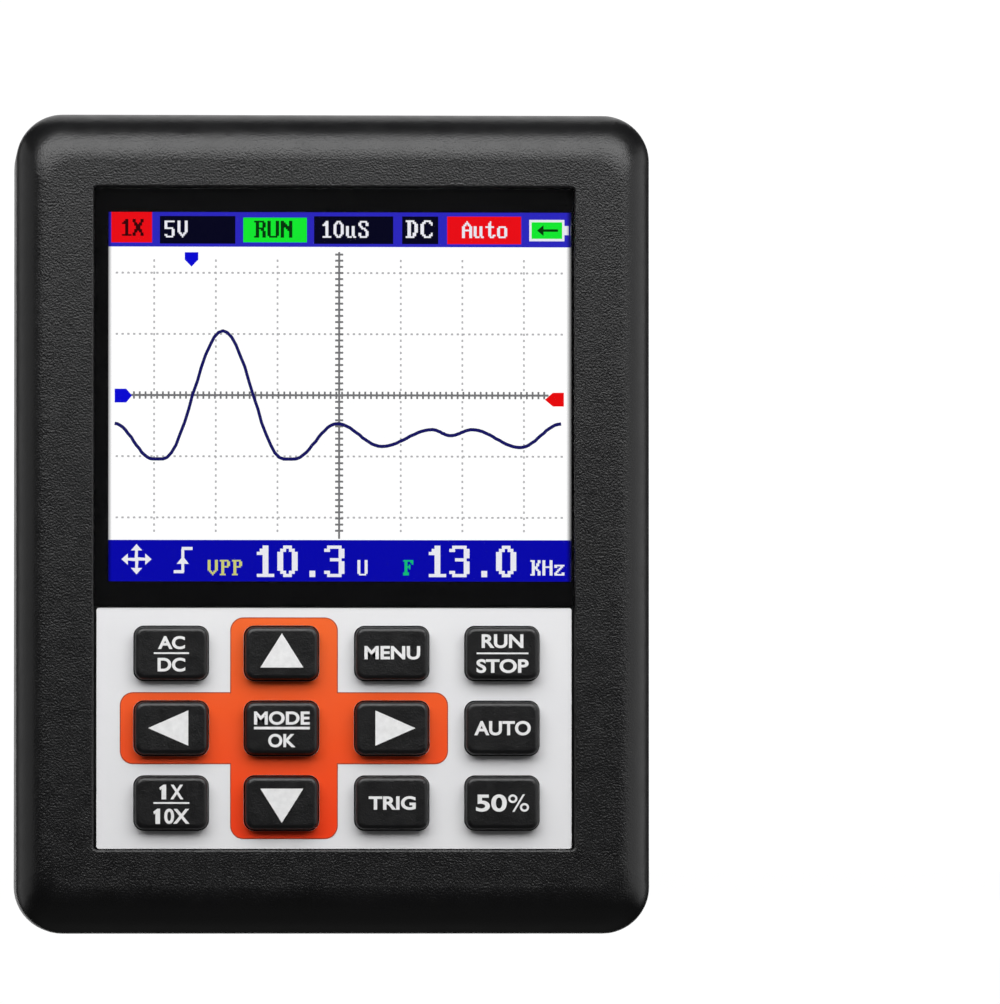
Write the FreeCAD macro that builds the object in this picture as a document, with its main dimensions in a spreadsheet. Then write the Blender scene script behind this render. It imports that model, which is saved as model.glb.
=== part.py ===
import FreeCAD, Part
import math
import os
import re
import Sketcher
from FreeCAD import Placement, Rotation, Vector

# A pocket oscilloscope that stands upright on its bottom edge.
# X is to the user's right, Z is up and the face looks along -Y, towards the user.
# The origin is at the middle of the bottom edge, halfway through the depth.
# A "level" is a depth in the case, counted from the origin towards the user, so it is -Y.

SIZES = {
    # Case
    "case_width": 65.0, "case_height": 84.0, "corner_radius": 4.8,
    "rear_level": -12.4, "parting_level": -0.4, "roll_level": 6.6, "front_level": 11.6,
    "roll_side": 3.5, "roll_end": 4.8, "roll_corner": 2.3,
    "wall": 2.2, "rear_wall": 1.8, "inner_level": 8.6, "cavity_radius": 2.6,
    "rear_fillet": 3.0, "seam_chamfer": 0.15, "lip_height": 1.1, "lip_thickness": 1.0, "fit_gap": 0.1,
    # Recess for the window and the keypad
    "recess_width": 49.2, "recess_radius": 0.35, "recess_lip": 0.25, "overlay_side": 0.3,
    "keypad_bottom": 8.6, "window_bottom": 33.42, "window_top": 76.34,
    "keypad_floor": 10.6, "window_floor": 10.1,
    "lens_back": 10.3, "lens_front": 11.3, "overlay_front": 11.1,
    "tape_width": 48.0, "tape_height": 1.4, "tape_inset": 0.2,
    # Display
    "view_centre": 55.2, "opening_width": 48.6, "opening_height": 38.6,
    "glass_width": 59.0, "glass_bottom": 33.9, "glass_top": 76.0, "glass_ledge": 1.6,
    "glass_back": 7.0, "glass_front": 8.3, "tray_width": 59.4, "tray_back": 5.6,
    "gasket_width": 1.2, "flex_width": 20.0, "flex_thickness": 0.2, "flex_turn": 33.2,
    "flex_end": 44.0, "foam_width": 12.0, "foam_height": 30.0, "foam_offset": 20.0,
    "rib_width": 6.0, "rib_thickness": 0.6, "rib_offset": 15.0, "rib_gap_low": 0.6,
    "rib_gap_high": 0.4,
    # Keys
    "key_width": 7.45, "key_height": 5.4, "key_radius": 0.95, "key_front": 12.4,
    "key_edge": 0.5, "key_gap": 0.1, "overlay_gap": 0.14,
    "key_pitch_across": 11.28, "key_pitch_down": 7.65, "keys_middle": 0.25, "keys_top": 28.67,
    "flange_margin": 0.6, "flange_back": 7.7, "flange_front": 8.5, "post_radius": 1.3,
    # Tactile switches under the keys
    "switch_side": 4.5, "switch_front": 6.3, "plunger_radius": 1.1, "plunger_back": 4.9,
    "plunger_front": 7.0, "plunger_bore": 1.15, "bore_floor": 4.5,
    # Board
    "board_back": 2.1, "board_front": 3.7, "board_width": 59.6, "board_bottom": 2.6,
    "board_top": 81.4, "board_corner": 6.0,
    # Screws
    "case_screw_across": 27.5, "case_screw_low": 5.0, "case_screw_high": 79.0,
    "case_boss": 2.9, "case_shank": 1.0, "case_clearance": 1.2, "case_head": 2.0,
    "case_head_pocket": 2.3, "case_seat": -9.6, "case_head_back": -11.2, "case_screw_tip": 5.0,
    "case_pilot_end": 6.0, "cross_length": 2.2, "cross_width": 0.45, "cross_deep": 0.7,
    "lip_relief": 0.3,
    "board_screw_across": 20.0, "board_screw_low": 5.0, "board_screw_high": 79.2,
    "board_boss": 2.0, "board_shank": 0.7, "board_hole": 0.9, "board_head": 1.5,
    "board_head_back": 1.1, "board_screw_tip": 6.6, "board_pilot_end": 7.2,
    "driver_length": 2.0, "driver_width": 0.4, "driver_deep": 0.4,
    # Signal input jack on the top edge
    "jack_across": -14.0, "jack_level": -0.4, "jack_width": 6.4, "jack_depth": 5.0,
    "jack_bottom": 69.0, "jack_shoulder": 81.6, "jack_mouth": 83.7, "jack_bore": 1.8,
    "jack_collar": 2.8, "jack_hole": 2.9, "contact_inner": 1.9, "contact_leaf": 0.3,
    "contact_width": 1.2, "contact_foot": 4.2, "contact_window": 1.6, "foot_thickness": 0.2,
    "contact_drop": 1.0, "window_drop": 1.2,
    # USB socket on the top edge
    "usb_across": 14.0, "usb_width": 7.5, "usb_depth": 2.6, "usb_bottom": 77.6, "usb_top": 83.2,
    "usb_wall": 0.3, "usb_clearance": 0.25, "tongue_width": 4.6, "tongue_thickness": 0.6,
    "tongue_top": 82.4, "tongue_base": 1.4,
    # Power slide on the right edge
    "slide_across": 25.6, "slide_outer": 29.4, "slide_back": -1.4, "slide_height": 8.6,
    "slide_middle": 64.85, "knob_level": 0.35, "knob_depth": 1.6, "knob_radius": 1.1,
    "knob_tip": 32.6, "knob_inner": 27.5, "knob_rest": 65.85, "slide_travel": 2.0,
    "slide_gap": 0.1, "slot_gap": 0.2, "scoop_radius": 9.0, "scoop_deep": 0.7,
    "scoop_width": 5.0,
    # Battery
    "cell_width": 50.0, "cell_bottom": 10.0, "cell_top": 66.0, "cell_front": -3.2,
    "cell_back": -10.4, "cell_radius": 2.0, "battery_tape_width": 40.0,
    "battery_tape_height": 48.0, "lead_radius": 0.6, "lead_across": 2.5, "lead_pitch": 2.0,
    "lead_back": -6.8, "lead_front": 0.1, "lead_crest": 79.0, "lead_bend": 3.1,
    "plug_top": 72.0, "plug_bottom": 66.4, "plug_width": 5.0, "plug_depth": 2.8,
    "header_top": 70.4, "header_bottom": 65.0, "header_wall": 0.5,
    # Trimmer
    "trimmer_across": -24.0, "trimmer_up": 73.0, "trimmer_radius": 2.0, "trimmer_back": 0.9,
    "rotor_radius": 1.5, "rotor_back": 0.1, "rotor_hub": 0.6, "hub_gap": 0.05,
    "hub_end": 1.7, "rotor_slot": 0.4, "slot_depth": 0.3,
    # Components on the back of the board
    "pin_lift": 0.1, "pin_top": 0.2, "pin_reach": 1.0, "small_chip_width": 4.0,
    "small_chip_height": 5.0, "small_chip_thickness": 1.3, "processor_across": 8.0,
    "processor_up": 44.0, "processor_side": 10.0, "processor_thickness": 1.5,
    "converter_across": -6.0, "converter_up": 52.0, "converter_width": 5.0,
    "converter_height": 6.5, "converter_thickness": 1.3, "crystal_across": 18.0,
    "crystal_up": 52.0, "crystal_width": 11.0, "crystal_height": 4.5,
    "crystal_thickness": 3.4, "relay_across": -14.0, "relay_up": 61.0, "relay_width": 6.5,
    "relay_height": 10.0, "relay_thickness": 5.0, "inductor_across": -8.0,
    "inductor_up": 30.0, "inductor_side": 6.0, "inductor_thickness": 3.0,
    "can_across": -20.0, "can_up": 44.0, "can_width": 14.0, "can_height": 18.0,
    "can_thickness": 2.2, "can_sheet": 0.2, "capacitor_radius": 2.0, "capacitor_height": 4.6,
    # Blank panel on the back
    "panel_width": 38.0, "panel_height": 26.0, "panel_middle": 46.0, "panel_depth": 0.3,
    "panel_radius": 2.0,
}

KEY_ROWS = (
    ("ac_dc", "up", "menu", "run_stop"),
    ("left", "mode_ok", "right", "auto"),
    ("1x_10x", "down", "trig", "50_percent"),
)
SMALL_CHIP_PLACES = ((20, 28), (20, 18), (8, 20), (-22, 18))
CAPACITOR_PLACES = ((-20, 27), (2, 28), (22, 40))
CONTACT_PLACES = ((1, 2.0), (-1, 5.5), (1, 9.5))
ROLL_ANGLES = (0, 15, 30, 45, 60, 75, 90)
QUARTER_TURN = math.pi / 2
# How far a cutting shape reaches past the surface that it cuts
PAST = "1"
SIDES = (-1, 1)
WORD = re.compile(r"[a-z][a-z_]*")
TOWARDS_USER = Rotation(Vector(1, 0, 0), 90)
ACROSS = Rotation(Vector(0, 1, 0), 90)
UPWARDS = Rotation()

doc = FreeCAD.newDocument("Oscilloscope")
sheet = doc.addObject("Spreadsheet::Sheet", "Sizes")
sub_parts = []


# ---- Sheet and expressions ----

def write_sheet():
    """Put each driving size in a cell of its own, with its name as the alias."""
    for row, (alias, number) in enumerate(SIZES.items(), start=1):
        sheet.set(f"A{row}", alias)
        sheet.set(f"B{row}", str(number))
        sheet.setAlias(f"B{row}", alias)
    doc.recompute()


def formula(text):
    """Turn plain size names into references to the sheet."""
    return WORD.sub(lambda word: "Sizes." + word.group() if word.group() in SIZES else word.group(),
                    str(text))


def size(text):
    """The number that a formula gives, for pieces that are shaped by code."""
    return float(sheet.evalExpression(formula(text)))


def bind(thing, expressions):
    """Tie properties of an object to formulas of the driving sizes."""
    for prop, text in expressions.items():
        thing.setExpression(prop, formula(text))


def sub_part(thing, label):
    """Give a finished piece the name that its file carries."""
    thing.Label = label
    sub_parts.append(thing)
    return thing


# ---- Shapes ----

def new(kind, name, body):
    return body.newObject(kind, name) if body else doc.addObject(kind, name)


def slab(name, across, up, width, height, back, front, kind="Part::Box", body=None):
    """A box: its middle and size as the user sees them, and its two levels."""
    box = new(kind, name, body)
    bind(box, {
        "Length": width, "Width": f"({front}) - ({back})", "Height": height,
        "Placement.Base.x": f"({across}) - ({width}) / 2",
        "Placement.Base.y": f"-({front})",
        "Placement.Base.z": f"({up}) - ({height}) / 2",
    })
    return box


def rod(name, across, up, radius, back, front, kind="Part::Cylinder", body=None):
    """A cylinder whose axis points at the user."""
    cylinder = new(kind, name, body)
    cylinder.Placement = Placement(Vector(), TOWARDS_USER)
    bind(cylinder, {
        "Radius": radius, "Height": f"({front}) - ({back})",
        "Placement.Base.x": across, "Placement.Base.y": f"-({back})", "Placement.Base.z": up,
    })
    return cylinder


def pole(name, across, level, radius, bottom, top, kind="Part::Cylinder", body=None):
    """A cylinder whose axis points up."""
    cylinder = new(kind, name, body)
    cylinder.Placement = Placement(Vector(), UPWARDS)
    bind(cylinder, {
        "Radius": radius, "Height": f"({top}) - ({bottom})",
        "Placement.Base.x": across, "Placement.Base.y": f"-({level})",
        "Placement.Base.z": bottom,
    })
    return cylinder


def fuse(name, pieces):
    union = doc.addObject("Part::MultiFuse", name)
    union.Shapes = pieces
    union.Refine = True
    return union


def group(name, pieces):
    compound = doc.addObject("Part::Compound", name)
    compound.Links = pieces
    return compound


def cut(name, base, tools):
    result = doc.addObject("Part::Cut", name)
    result.Base = base
    result.Tool = tools[0] if len(tools) == 1 else group(name + "_tools", tools)
    result.Refine = True
    return result


def new_body(name):
    return doc.addObject("PartDesign::Body", name)


def face_plane(body):
    """The body's plane that is parallel to the face."""
    return next(item for item in body.Origin.OriginFeatures if item.Role == "XZ_Plane")


def rounded_sketch(body, name, width, height, radius, level, across="0", up="case_height / 2"):
    """A sketch of a rounded rectangle, parallel to the face, with every size from the sheet."""
    sketch = body.newObject("Sketcher::SketchObject", name)
    sketch.AttachmentSupport = [(face_plane(body), "")]
    sketch.MapMode = "FlatFace"
    sketch.setExpression("AttachmentOffset.Base.z", formula(level))
    left, right = (size(f"({across}) + {side} * ({width}) / 2") for side in SIDES)
    low, high = (size(f"({up}) + {side} * ({height}) / 2") for side in SIDES)
    bend = size(radius)
    corners = ((right - bend, low + bend), (right - bend, high - bend),
               (left + bend, high - bend), (left + bend, low + bend))
    starts = ((left + bend, low), (right, low + bend), (right - bend, high), (left, high - bend))
    ends = ((right - bend, low), (right, high - bend), (left + bend, high), (left, low + bend))
    for quarter in range(4):
        begin = Vector(*starts[quarter], 0)
        finish = Vector(*ends[quarter], 0)
        circle = Part.Circle(Vector(*corners[quarter], 0), Vector(0, 0, 1), bend)
        arc = Part.ArcOfCircle(circle, (quarter - 1) * QUARTER_TURN, quarter * QUARTER_TURN)
        sketch.addGeometry(Part.LineSegment(begin, finish), False)
        sketch.addGeometry(arc, False)
    for line in range(0, 8, 2):
        sketch.addConstraint(Sketcher.Constraint("Tangent", line, 2, line + 1, 1))
        sketch.addConstraint(Sketcher.Constraint("Tangent", line + 1, 2, (line + 2) % 8, 1))
    for line in (0, 4):
        sketch.addConstraint(Sketcher.Constraint("Horizontal", line))
        sketch.addConstraint(Sketcher.Constraint("Vertical", line + 2))
    for arc in (3, 5, 7):
        sketch.addConstraint(Sketcher.Constraint("Equal", 1, arc))
    limits = (
        ("Radius", (1,), bend, radius),
        ("DistanceX", (-1, 1, 2, 1), right, f"({across}) + ({width}) / 2"),
        ("DistanceX", (-1, 1, 6, 1), left, f"({across}) - ({width}) / 2"),
        ("DistanceY", (-1, 1, 4, 1), high, f"({up}) + ({height}) / 2"),
        ("DistanceY", (-1, 1, 0, 1), low, f"({up}) - ({height}) / 2"),
    )
    for kind, places, number, text in limits:
        index = sketch.addConstraint(Sketcher.Constraint(kind, *places, number))
        sketch.setExpression(f"Constraints[{index}]", formula(text))
    return sketch


def pad(body, name, sketch, length):
    feature = body.newObject("PartDesign::Pad", name)
    feature.Profile = sketch
    bind(feature, {"Length": length})
    return feature


def pocket(body, name, sketch, length, towards_user=False):
    """Cut from the sketch away from the user, or towards the user."""
    feature = body.newObject("PartDesign::Pocket", name)
    feature.Profile = sketch
    feature.Reversed = towards_user
    bind(feature, {"Length": length})
    return feature


def edges_at(feature, level, half_width):
    """The edges that lie in one level and within a given half width."""
    found = []
    for number, edge in enumerate(feature.Shape.Edges, start=1):
        box = edge.BoundBox
        flat = abs(box.YMin + level) < 1e-4 and abs(box.YMax + level) < 1e-4
        if flat and max(abs(box.XMin), abs(box.XMax)) < half_width + 1e-4:
            found.append(f"Edge{number}")
    return found


def seam_chamfer(body, name, feature):
    """Break the outer edge where the two shells meet, so that a fine groove shows."""
    doc.recompute()
    edges = edges_at(feature, size("parting_level"), size("case_width / 2"))
    chamfer = body.newObject("PartDesign::Chamfer", name)
    chamfer.Base = (feature, edges)
    bind(chamfer, {"Size": "seam_chamfer"})
    return chamfer


def fillet(body, name, feature, edges, radius):
    doc.recompute()
    rounding = body.newObject("PartDesign::Fillet", name)
    rounding.Base = (feature, edges)
    bind(rounding, {"Radius": radius})
    return rounding


def plate(label, width, height, radius, back, front, across="0", up="case_height / 2"):
    """A body that is one rounded plate between two levels."""
    body = new_body(label)
    outline = rounded_sketch(body, label + "_outline", width, height, radius, back, across, up)
    pad(body, label + "_pad", outline, f"({front}) - ({back})")
    return body


# ---- Places that repeat ----

def key_places():
    """Each key's name, with formulas for its middle."""
    for row, names in enumerate(KEY_ROWS):
        for column, name in enumerate(names):
            across = f"keys_middle + ({column} - 1.5) * key_pitch_across"
            yield name, across, f"keys_top - {row} * key_pitch_down"


def corner_places(kind):
    """The four places of the case screws or of the board screws."""
    for side in SIDES:
        for end in ("low", "high"):
            yield f"{end}_{side + 1}", f"{side} * {kind}_screw_across", f"{kind}_screw_{end}"


# ---- Case ----

def roll_section(body, angle):
    """One outline of the rolled front edge, which follows a quarter of an ellipse."""
    inward = f"(1 - cos({angle} deg))"
    return rounded_sketch(
        body, f"front_roll_{angle}",
        f"case_width - 2 * roll_side * {inward}", f"case_height - 2 * roll_end * {inward}",
        f"corner_radius - roll_corner * {inward}",
        f"roll_level + (front_level - roll_level) * sin({angle} deg)")


def cut_edge_openings(body, prefix):
    """The jack's hole, the USB opening and the power slide's slot, which both shells share."""
    cutter = {"body": body, "kind": "PartDesign::SubtractiveCylinder"}
    box_cutter = {"body": body, "kind": "PartDesign::SubtractiveBox"}
    pole(prefix + "_jack_hole", "jack_across", "jack_level", "jack_hole",
         "case_height - 2 * wall", f"case_height + {PAST}", **cutter)
    slab(prefix + "_usb_opening", "usb_across", "case_height",
         "usb_width + 2 * usb_clearance", "4 * wall",
         "board_back - usb_depth - usb_clearance", "board_back + usb_clearance", **box_cutter)
    slab(prefix + "_slide_slot", "case_width / 2", "slide_middle",
         "4 * wall", "slide_travel + 2 * knob_radius + 2 * slot_gap",
         "knob_level - knob_depth / 2 - slot_gap", "knob_level + knob_depth / 2 + slot_gap",
         **box_cutter)
    rod(prefix + "_thumb_scoop", "case_width / 2 + scoop_radius - scoop_deep", "slide_middle",
        "scoop_radius", "knob_level - scoop_width / 2", "knob_level + scoop_width / 2", **cutter)


def front_shell():
    """The front half of the case, with the recess, the key holes and the screw bosses."""
    body = new_body("front_shell")
    outline = rounded_sketch(body, "front_outline", "case_width", "case_height",
                             "corner_radius", "parting_level")
    wall = pad(body, "front_wall", outline, "roll_level - parting_level")
    seam_chamfer(body, "front_seam", wall)
    sections = [roll_section(body, angle) for angle in ROLL_ANGLES]
    roll = body.newObject("PartDesign::AdditiveLoft", "front_roll")
    roll.Profile = sections[0]
    roll.Sections = sections[1:]
    cavity = rounded_sketch(body, "front_cavity_outline", "case_width - 2 * wall",
                            "case_height - 2 * wall", "cavity_radius", "parting_level")
    pocket(body, "front_cavity", cavity, "inner_level - parting_level", towards_user=True)
    rebate = rounded_sketch(
        body, "front_rebate_outline", "case_width - 2 * wall + 2 * lip_thickness + 2 * fit_gap",
        "case_height - 2 * wall + 2 * lip_thickness + 2 * fit_gap",
        "cavity_radius + lip_thickness", "parting_level")
    pocket(body, "front_rebate", rebate, "lip_height + fit_gap", towards_user=True)
    cut_recess(body)
    cut_key_holes(body)
    add_front_bosses(body)
    cut_edge_openings(body, "front")
    return sub_part(body, "front_shell")


def cut_recess(body):
    """The recess for window and keypad, the window's deeper seat and the display opening."""
    recess = rounded_sketch(
        body, "recess_outline", "recess_width", "window_top - keypad_bottom", "recess_radius",
        "front_level", up="(window_top + keypad_bottom) / 2")
    floor = pocket(body, "recess", recess, "front_level - keypad_floor")
    doc.recompute()
    lip = edges_at(floor, size("front_level"), size("recess_width / 2"))
    fillet(body, "recess_lip_rounding", floor, lip, "recess_lip")
    seat = rounded_sketch(
        body, "window_seat_outline", "recess_width", "window_top - window_bottom",
        "recess_radius", "keypad_floor", up="(window_top + window_bottom) / 2")
    pocket(body, "window_seat", seat, "keypad_floor - window_floor")
    opening = rounded_sketch(
        body, "display_opening_outline", "opening_width", "opening_height", "recess_radius",
        "window_floor", up="view_centre")
    pocket(body, "display_opening", opening, "window_floor - inner_level")


def cut_key_holes(body):
    """Twelve holes in which the key caps slide."""
    for name, across, up in key_places():
        hole = rounded_sketch(
            body, f"hole_outline_{name}", "key_width + 2 * key_gap", "key_height + 2 * key_gap",
            "key_radius + key_gap", "keypad_floor", across, up)
        pocket(body, f"hole_{name}", hole, "keypad_floor - inner_level")


def add_front_bosses(body):
    """Bosses for both kinds of screw, and ribs that hold the display in its place."""
    adder = {"body": body, "kind": "PartDesign::AdditiveCylinder"}
    cutter = {"body": body, "kind": "PartDesign::SubtractiveCylinder"}
    rib_adder = {"body": body, "kind": "PartDesign::AdditiveBox"}
    for place, across, up in corner_places("case"):
        rod(f"front_case_boss_{place}", across, up, "case_boss",
            "parting_level", "inner_level", **adder)
        rod(f"front_case_pilot_{place}", across, up, "case_shank",
            "parting_level", "case_pilot_end", **cutter)
    for place, across, up in corner_places("board"):
        rod(f"board_boss_{place}", across, up, "board_boss",
            "board_front", "inner_level", **adder)
        rod(f"board_pilot_{place}", across, up, "board_shank",
            "board_front", "board_pilot_end", **cutter)
    for side in SIDES:
        for end, up in (("low", "glass_bottom - rib_gap_low"),
                        ("high", "glass_top + rib_gap_high")):
            slab(f"display_rib_{end}_{side + 1}", f"{side} * rib_offset", up, "rib_width",
                 "rib_thickness", "tray_back", "inner_level", **rib_adder)


def rear_shell():
    """The rear half of the case: a tray with a lip, screw bosses and a blank label panel."""
    body = new_body("rear_shell")
    outline = rounded_sketch(body, "rear_outline", "case_width", "case_height",
                             "corner_radius", "rear_level")
    tray = pad(body, "rear_wall_pad", outline, "parting_level - rear_level")
    doc.recompute()
    rim = edges_at(tray, size("rear_level"), size("case_width / 2"))
    rounded = fillet(body, "rear_edge_rounding", tray, rim, "rear_fillet")
    seam_chamfer(body, "rear_seam", rounded)
    lip = rounded_sketch(
        body, "lip_outline", "case_width - 2 * wall + 2 * lip_thickness",
        "case_height - 2 * wall + 2 * lip_thickness", "cavity_radius + lip_thickness - fit_gap",
        "parting_level")
    pad(body, "lip", lip, "lip_height")
    cavity = rounded_sketch(
        body, "rear_cavity_outline", "case_width - 2 * wall", "case_height - 2 * wall",
        "cavity_radius", "parting_level + lip_height")
    pocket(body, "rear_cavity", cavity, "parting_level + lip_height - rear_level - rear_wall")
    panel = rounded_sketch(body, "panel_outline", "panel_width", "panel_height",
                           "panel_radius", "rear_level", up="panel_middle")
    pocket(body, "panel_recess", panel, "panel_depth", towards_user=True)
    add_rear_bosses(body)
    cut_edge_openings(body, "rear")
    return sub_part(body, "rear_shell")


def add_rear_bosses(body):
    """Bosses that meet those of the front shell, with a seat for each screw head."""
    adder = {"body": body, "kind": "PartDesign::AdditiveCylinder"}
    cutter = {"body": body, "kind": "PartDesign::SubtractiveCylinder"}
    for place, across, up in corner_places("case"):
        rod(f"lip_relief_{place}", across, up, "case_boss + lip_relief",
            "parting_level", "parting_level + lip_height", **cutter)
        rod(f"rear_boss_{place}", across, up, "case_boss",
            "rear_level + rear_wall", "parting_level", **adder)
        rod(f"rear_clearance_{place}", across, up, "case_clearance",
            "rear_level", "parting_level", **cutter)
        rod(f"head_pocket_{place}", across, up, "case_head_pocket",
            "rear_level", "case_seat", **cutter)


def screws():
    """Four screws from the back into the front shell, and four that hold the board."""
    case = []
    for place, across, up in corner_places("case"):
        head = rod(f"case_head_{place}", across, up, "case_head", "case_head_back", "case_seat")
        shank = rod(f"case_shank_{place}", across, up, "case_shank",
                    "case_seat", "case_screw_tip")
        slot_along = slab(f"case_slot_a_{place}", across, up, "cross_length", "cross_width",
                          "case_head_back", "case_head_back + cross_deep")
        slot_across = slab(f"case_slot_b_{place}", across, up, "cross_width", "cross_length",
                           "case_head_back", "case_head_back + cross_deep")
        blank = fuse(f"case_blank_{place}", [head, shank])
        case.append(cut(f"case_screw_{place}", blank, [slot_along, slot_across]))
    sub_part(group("case_screws", case), "case_screws")
    board = []
    for place, across, up in corner_places("board"):
        head = rod(f"board_head_{place}", across, up, "board_head",
                   "board_head_back", "board_back")
        shank = rod(f"board_shank_{place}", across, up, "board_shank",
                    "board_back", "board_screw_tip")
        blank = fuse(f"board_blank_{place}", [head, shank])
        slot = slab(f"board_slot_{place}", across, up, "driver_length", "driver_width",
                    "board_head_back", "board_head_back + driver_deep")
        board.append(cut(f"board_screw_{place}", blank, [slot]))
    sub_part(group("board_screws", board), "board_screws")


# ---- Window and keypad ----

def window():
    """The display window, and the two strips of tape that hold it."""
    middle = "(window_top + window_bottom) / 2"
    lens = plate("display_lens", "recess_width - 2 * fit_gap",
                 "window_top - window_bottom - 2 * fit_gap", "recess_radius - fit_gap",
                 "lens_back", "lens_front", up=middle)
    sub_part(lens, "display_lens")
    strips = [
        slab("lens_tape_low", "0", "window_bottom + tape_inset + tape_height / 2",
             "tape_width", "tape_height", "window_floor", "lens_back"),
        slab("lens_tape_high", "0", "window_top - tape_inset - tape_height / 2",
             "tape_width", "tape_height", "window_floor", "lens_back"),
    ]
    sub_part(group("lens_tape", strips), "lens_tape")


def keypad_overlay():
    """The flat panel around the keys, with a hole for each of them."""
    body = plate("keypad_overlay", "recess_width - 2 * overlay_side",
                 "window_bottom - keypad_bottom - 2 * fit_gap", "recess_radius - fit_gap",
                 "keypad_floor", "overlay_front", up="(window_bottom + keypad_bottom) / 2")
    for name, across, up in key_places():
        hole = rounded_sketch(
            body, f"overlay_hole_outline_{name}", "key_width + 2 * overlay_gap",
            "key_height + 2 * overlay_gap", "key_radius + overlay_gap", "overlay_front",
            across, up)
        pocket(body, f"overlay_hole_{name}", hole, "overlay_front - keypad_floor")
    return sub_part(body, "keypad_overlay")


def key(name, across, up):
    """One cap: a flange that keeps it in, the cap itself and a post over its switch."""
    body = plate(f"key_{name}", "key_width + 2 * flange_margin",
                 "key_height + 2 * flange_margin", "key_radius + flange_margin / 2",
                 "flange_back", "flange_front", across, up)
    outline = rounded_sketch(body, f"cap_outline_{name}", "key_width", "key_height",
                             "key_radius", "flange_front", across, up)
    cap = pad(body, f"cap_{name}", outline, "key_front - flange_front")
    doc.recompute()
    edges = edges_at(cap, size("key_front"), size("case_width / 2"))
    fillet(body, f"cap_rounding_{name}", cap, edges, "key_edge")
    rod(f"post_{name}", across, up, "post_radius", "plunger_front", "flange_back",
        kind="PartDesign::AdditiveCylinder", body=body)
    return sub_part(body, f"key_{name}")


def plunger(name, across, up):
    """The moving button of one tactile switch."""
    stem = rod(f"plunger_{name}", across, up, "plunger_radius", "plunger_back", "plunger_front")
    return sub_part(stem, f"plunger_{name}")


def switch_bodies():
    """The twelve housings of the tactile switches, each with a bore for its plunger."""
    housings = []
    for name, across, up in key_places():
        block = slab(f"switch_block_{name}", across, up, "switch_side", "switch_side",
                     "board_front", "switch_front")
        bore = rod(f"switch_bore_{name}", across, up, "plunger_bore",
                   "bore_floor", "switch_front")
        housings.append(cut(f"switch_{name}", block, [bore]))
    return sub_part(group("switch_bodies", housings), "switch_bodies")


# ---- Display module ----

def display():
    """The glass, its gasket, the backlight tray and the foam that presses them forward."""
    glass_middle = "(glass_top + glass_bottom) / 2"
    glass_height = "glass_top - glass_bottom"
    sub_part(slab("lcd_glass", "0", glass_middle, "glass_width", glass_height,
                  "glass_back", "glass_front"), "lcd_glass")
    sub_part(slab("lcd_backlight", "0", "(glass_top + glass_bottom + glass_ledge) / 2",
                  "tray_width", "glass_top - glass_bottom - glass_ledge",
                  "tray_back", "glass_back"), "lcd_backlight")
    rim = slab("gasket_rim", "0", "view_centre", "opening_width + 2 * gasket_width",
               "opening_height + 2 * gasket_width", "glass_front", "inner_level")
    hole = slab("gasket_hole", "0", "view_centre", "opening_width", "opening_height",
                "glass_front", "inner_level")
    sub_part(cut("lcd_gasket", rim, [hole]), "lcd_gasket")
    pads = [slab(f"foam_{side + 1}", f"{side} * foam_offset", "view_centre",
                 "foam_width", "foam_height", "board_front", "tray_back") for side in SIDES]
    sub_part(group("lcd_foam_pads", pads), "lcd_foam_pads")


def lcd_flex():
    """The display's ribbon: it leaves the glass, turns back and lies flat on the board."""
    thickness = "flex_thickness"
    turn_radius = "(glass_back - board_front) / 2"
    upper = slab("flex_upper", "0", "(glass_bottom + glass_ledge - fit_gap + flex_turn) / 2",
                 "flex_width", "glass_bottom + glass_ledge - fit_gap - flex_turn",
                 f"glass_back - {thickness}", "glass_back")
    lower = slab("flex_lower", "0", "(flex_end + flex_turn) / 2", "flex_width",
                 "flex_end - flex_turn", "board_front", f"board_front + {thickness}")
    bend = across_rod("flex_bend_outside", "flex_width", "(glass_back + board_front) / 2",
                      "flex_turn", turn_radius)
    inside = across_rod("flex_bend_inside", "flex_width", "(glass_back + board_front) / 2",
                        "flex_turn", f"{turn_radius} - {thickness}")
    above = slab("flex_bend_above", "0", "flex_turn + glass_back / 2", f"flex_width + {PAST}",
                 "glass_back", f"board_front - {PAST}", f"glass_back + {PAST}")
    half_tube = cut("flex_bend", bend, [inside, above])
    return sub_part(fuse("lcd_flex", [upper, half_tube, lower]), "lcd_flex")


def across_rod(name, width, level, up, radius):
    """A cylinder whose axis runs across the case, centred on its middle."""
    cylinder = doc.addObject("Part::Cylinder", name)
    cylinder.Placement = Placement(Vector(), ACROSS)
    bind(cylinder, {
        "Radius": radius, "Height": width, "Placement.Base.x": f"-({width}) / 2",
        "Placement.Base.y": f"-({level})", "Placement.Base.z": up,
    })
    return cylinder


# ---- Board and what is on it ----

def main_board():
    """The circuit board, with its corners cut out for the case bosses and four screw holes."""
    middle = "(board_top + board_bottom) / 2"
    blank = slab("board_blank", "0", middle, "board_width", "board_top - board_bottom",
                 "board_back", "board_front")
    tools = []
    for side in SIDES:
        for end, edge in (("low", "board_bottom"), ("high", "board_top")):
            tools.append(slab(f"board_notch_{end}_{side + 1}", f"{side} * board_width / 2", edge,
                              "2 * board_corner", "2 * board_corner",
                              f"board_back - {PAST}", f"board_front + {PAST}"))
    for place, across, up in corner_places("board"):
        tools.append(rod(f"board_hole_{place}", across, up, "board_hole",
                         f"board_back - {PAST}", f"board_front + {PAST}"))
    return sub_part(cut("main_board", blank, tools), "main_board")


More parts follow.
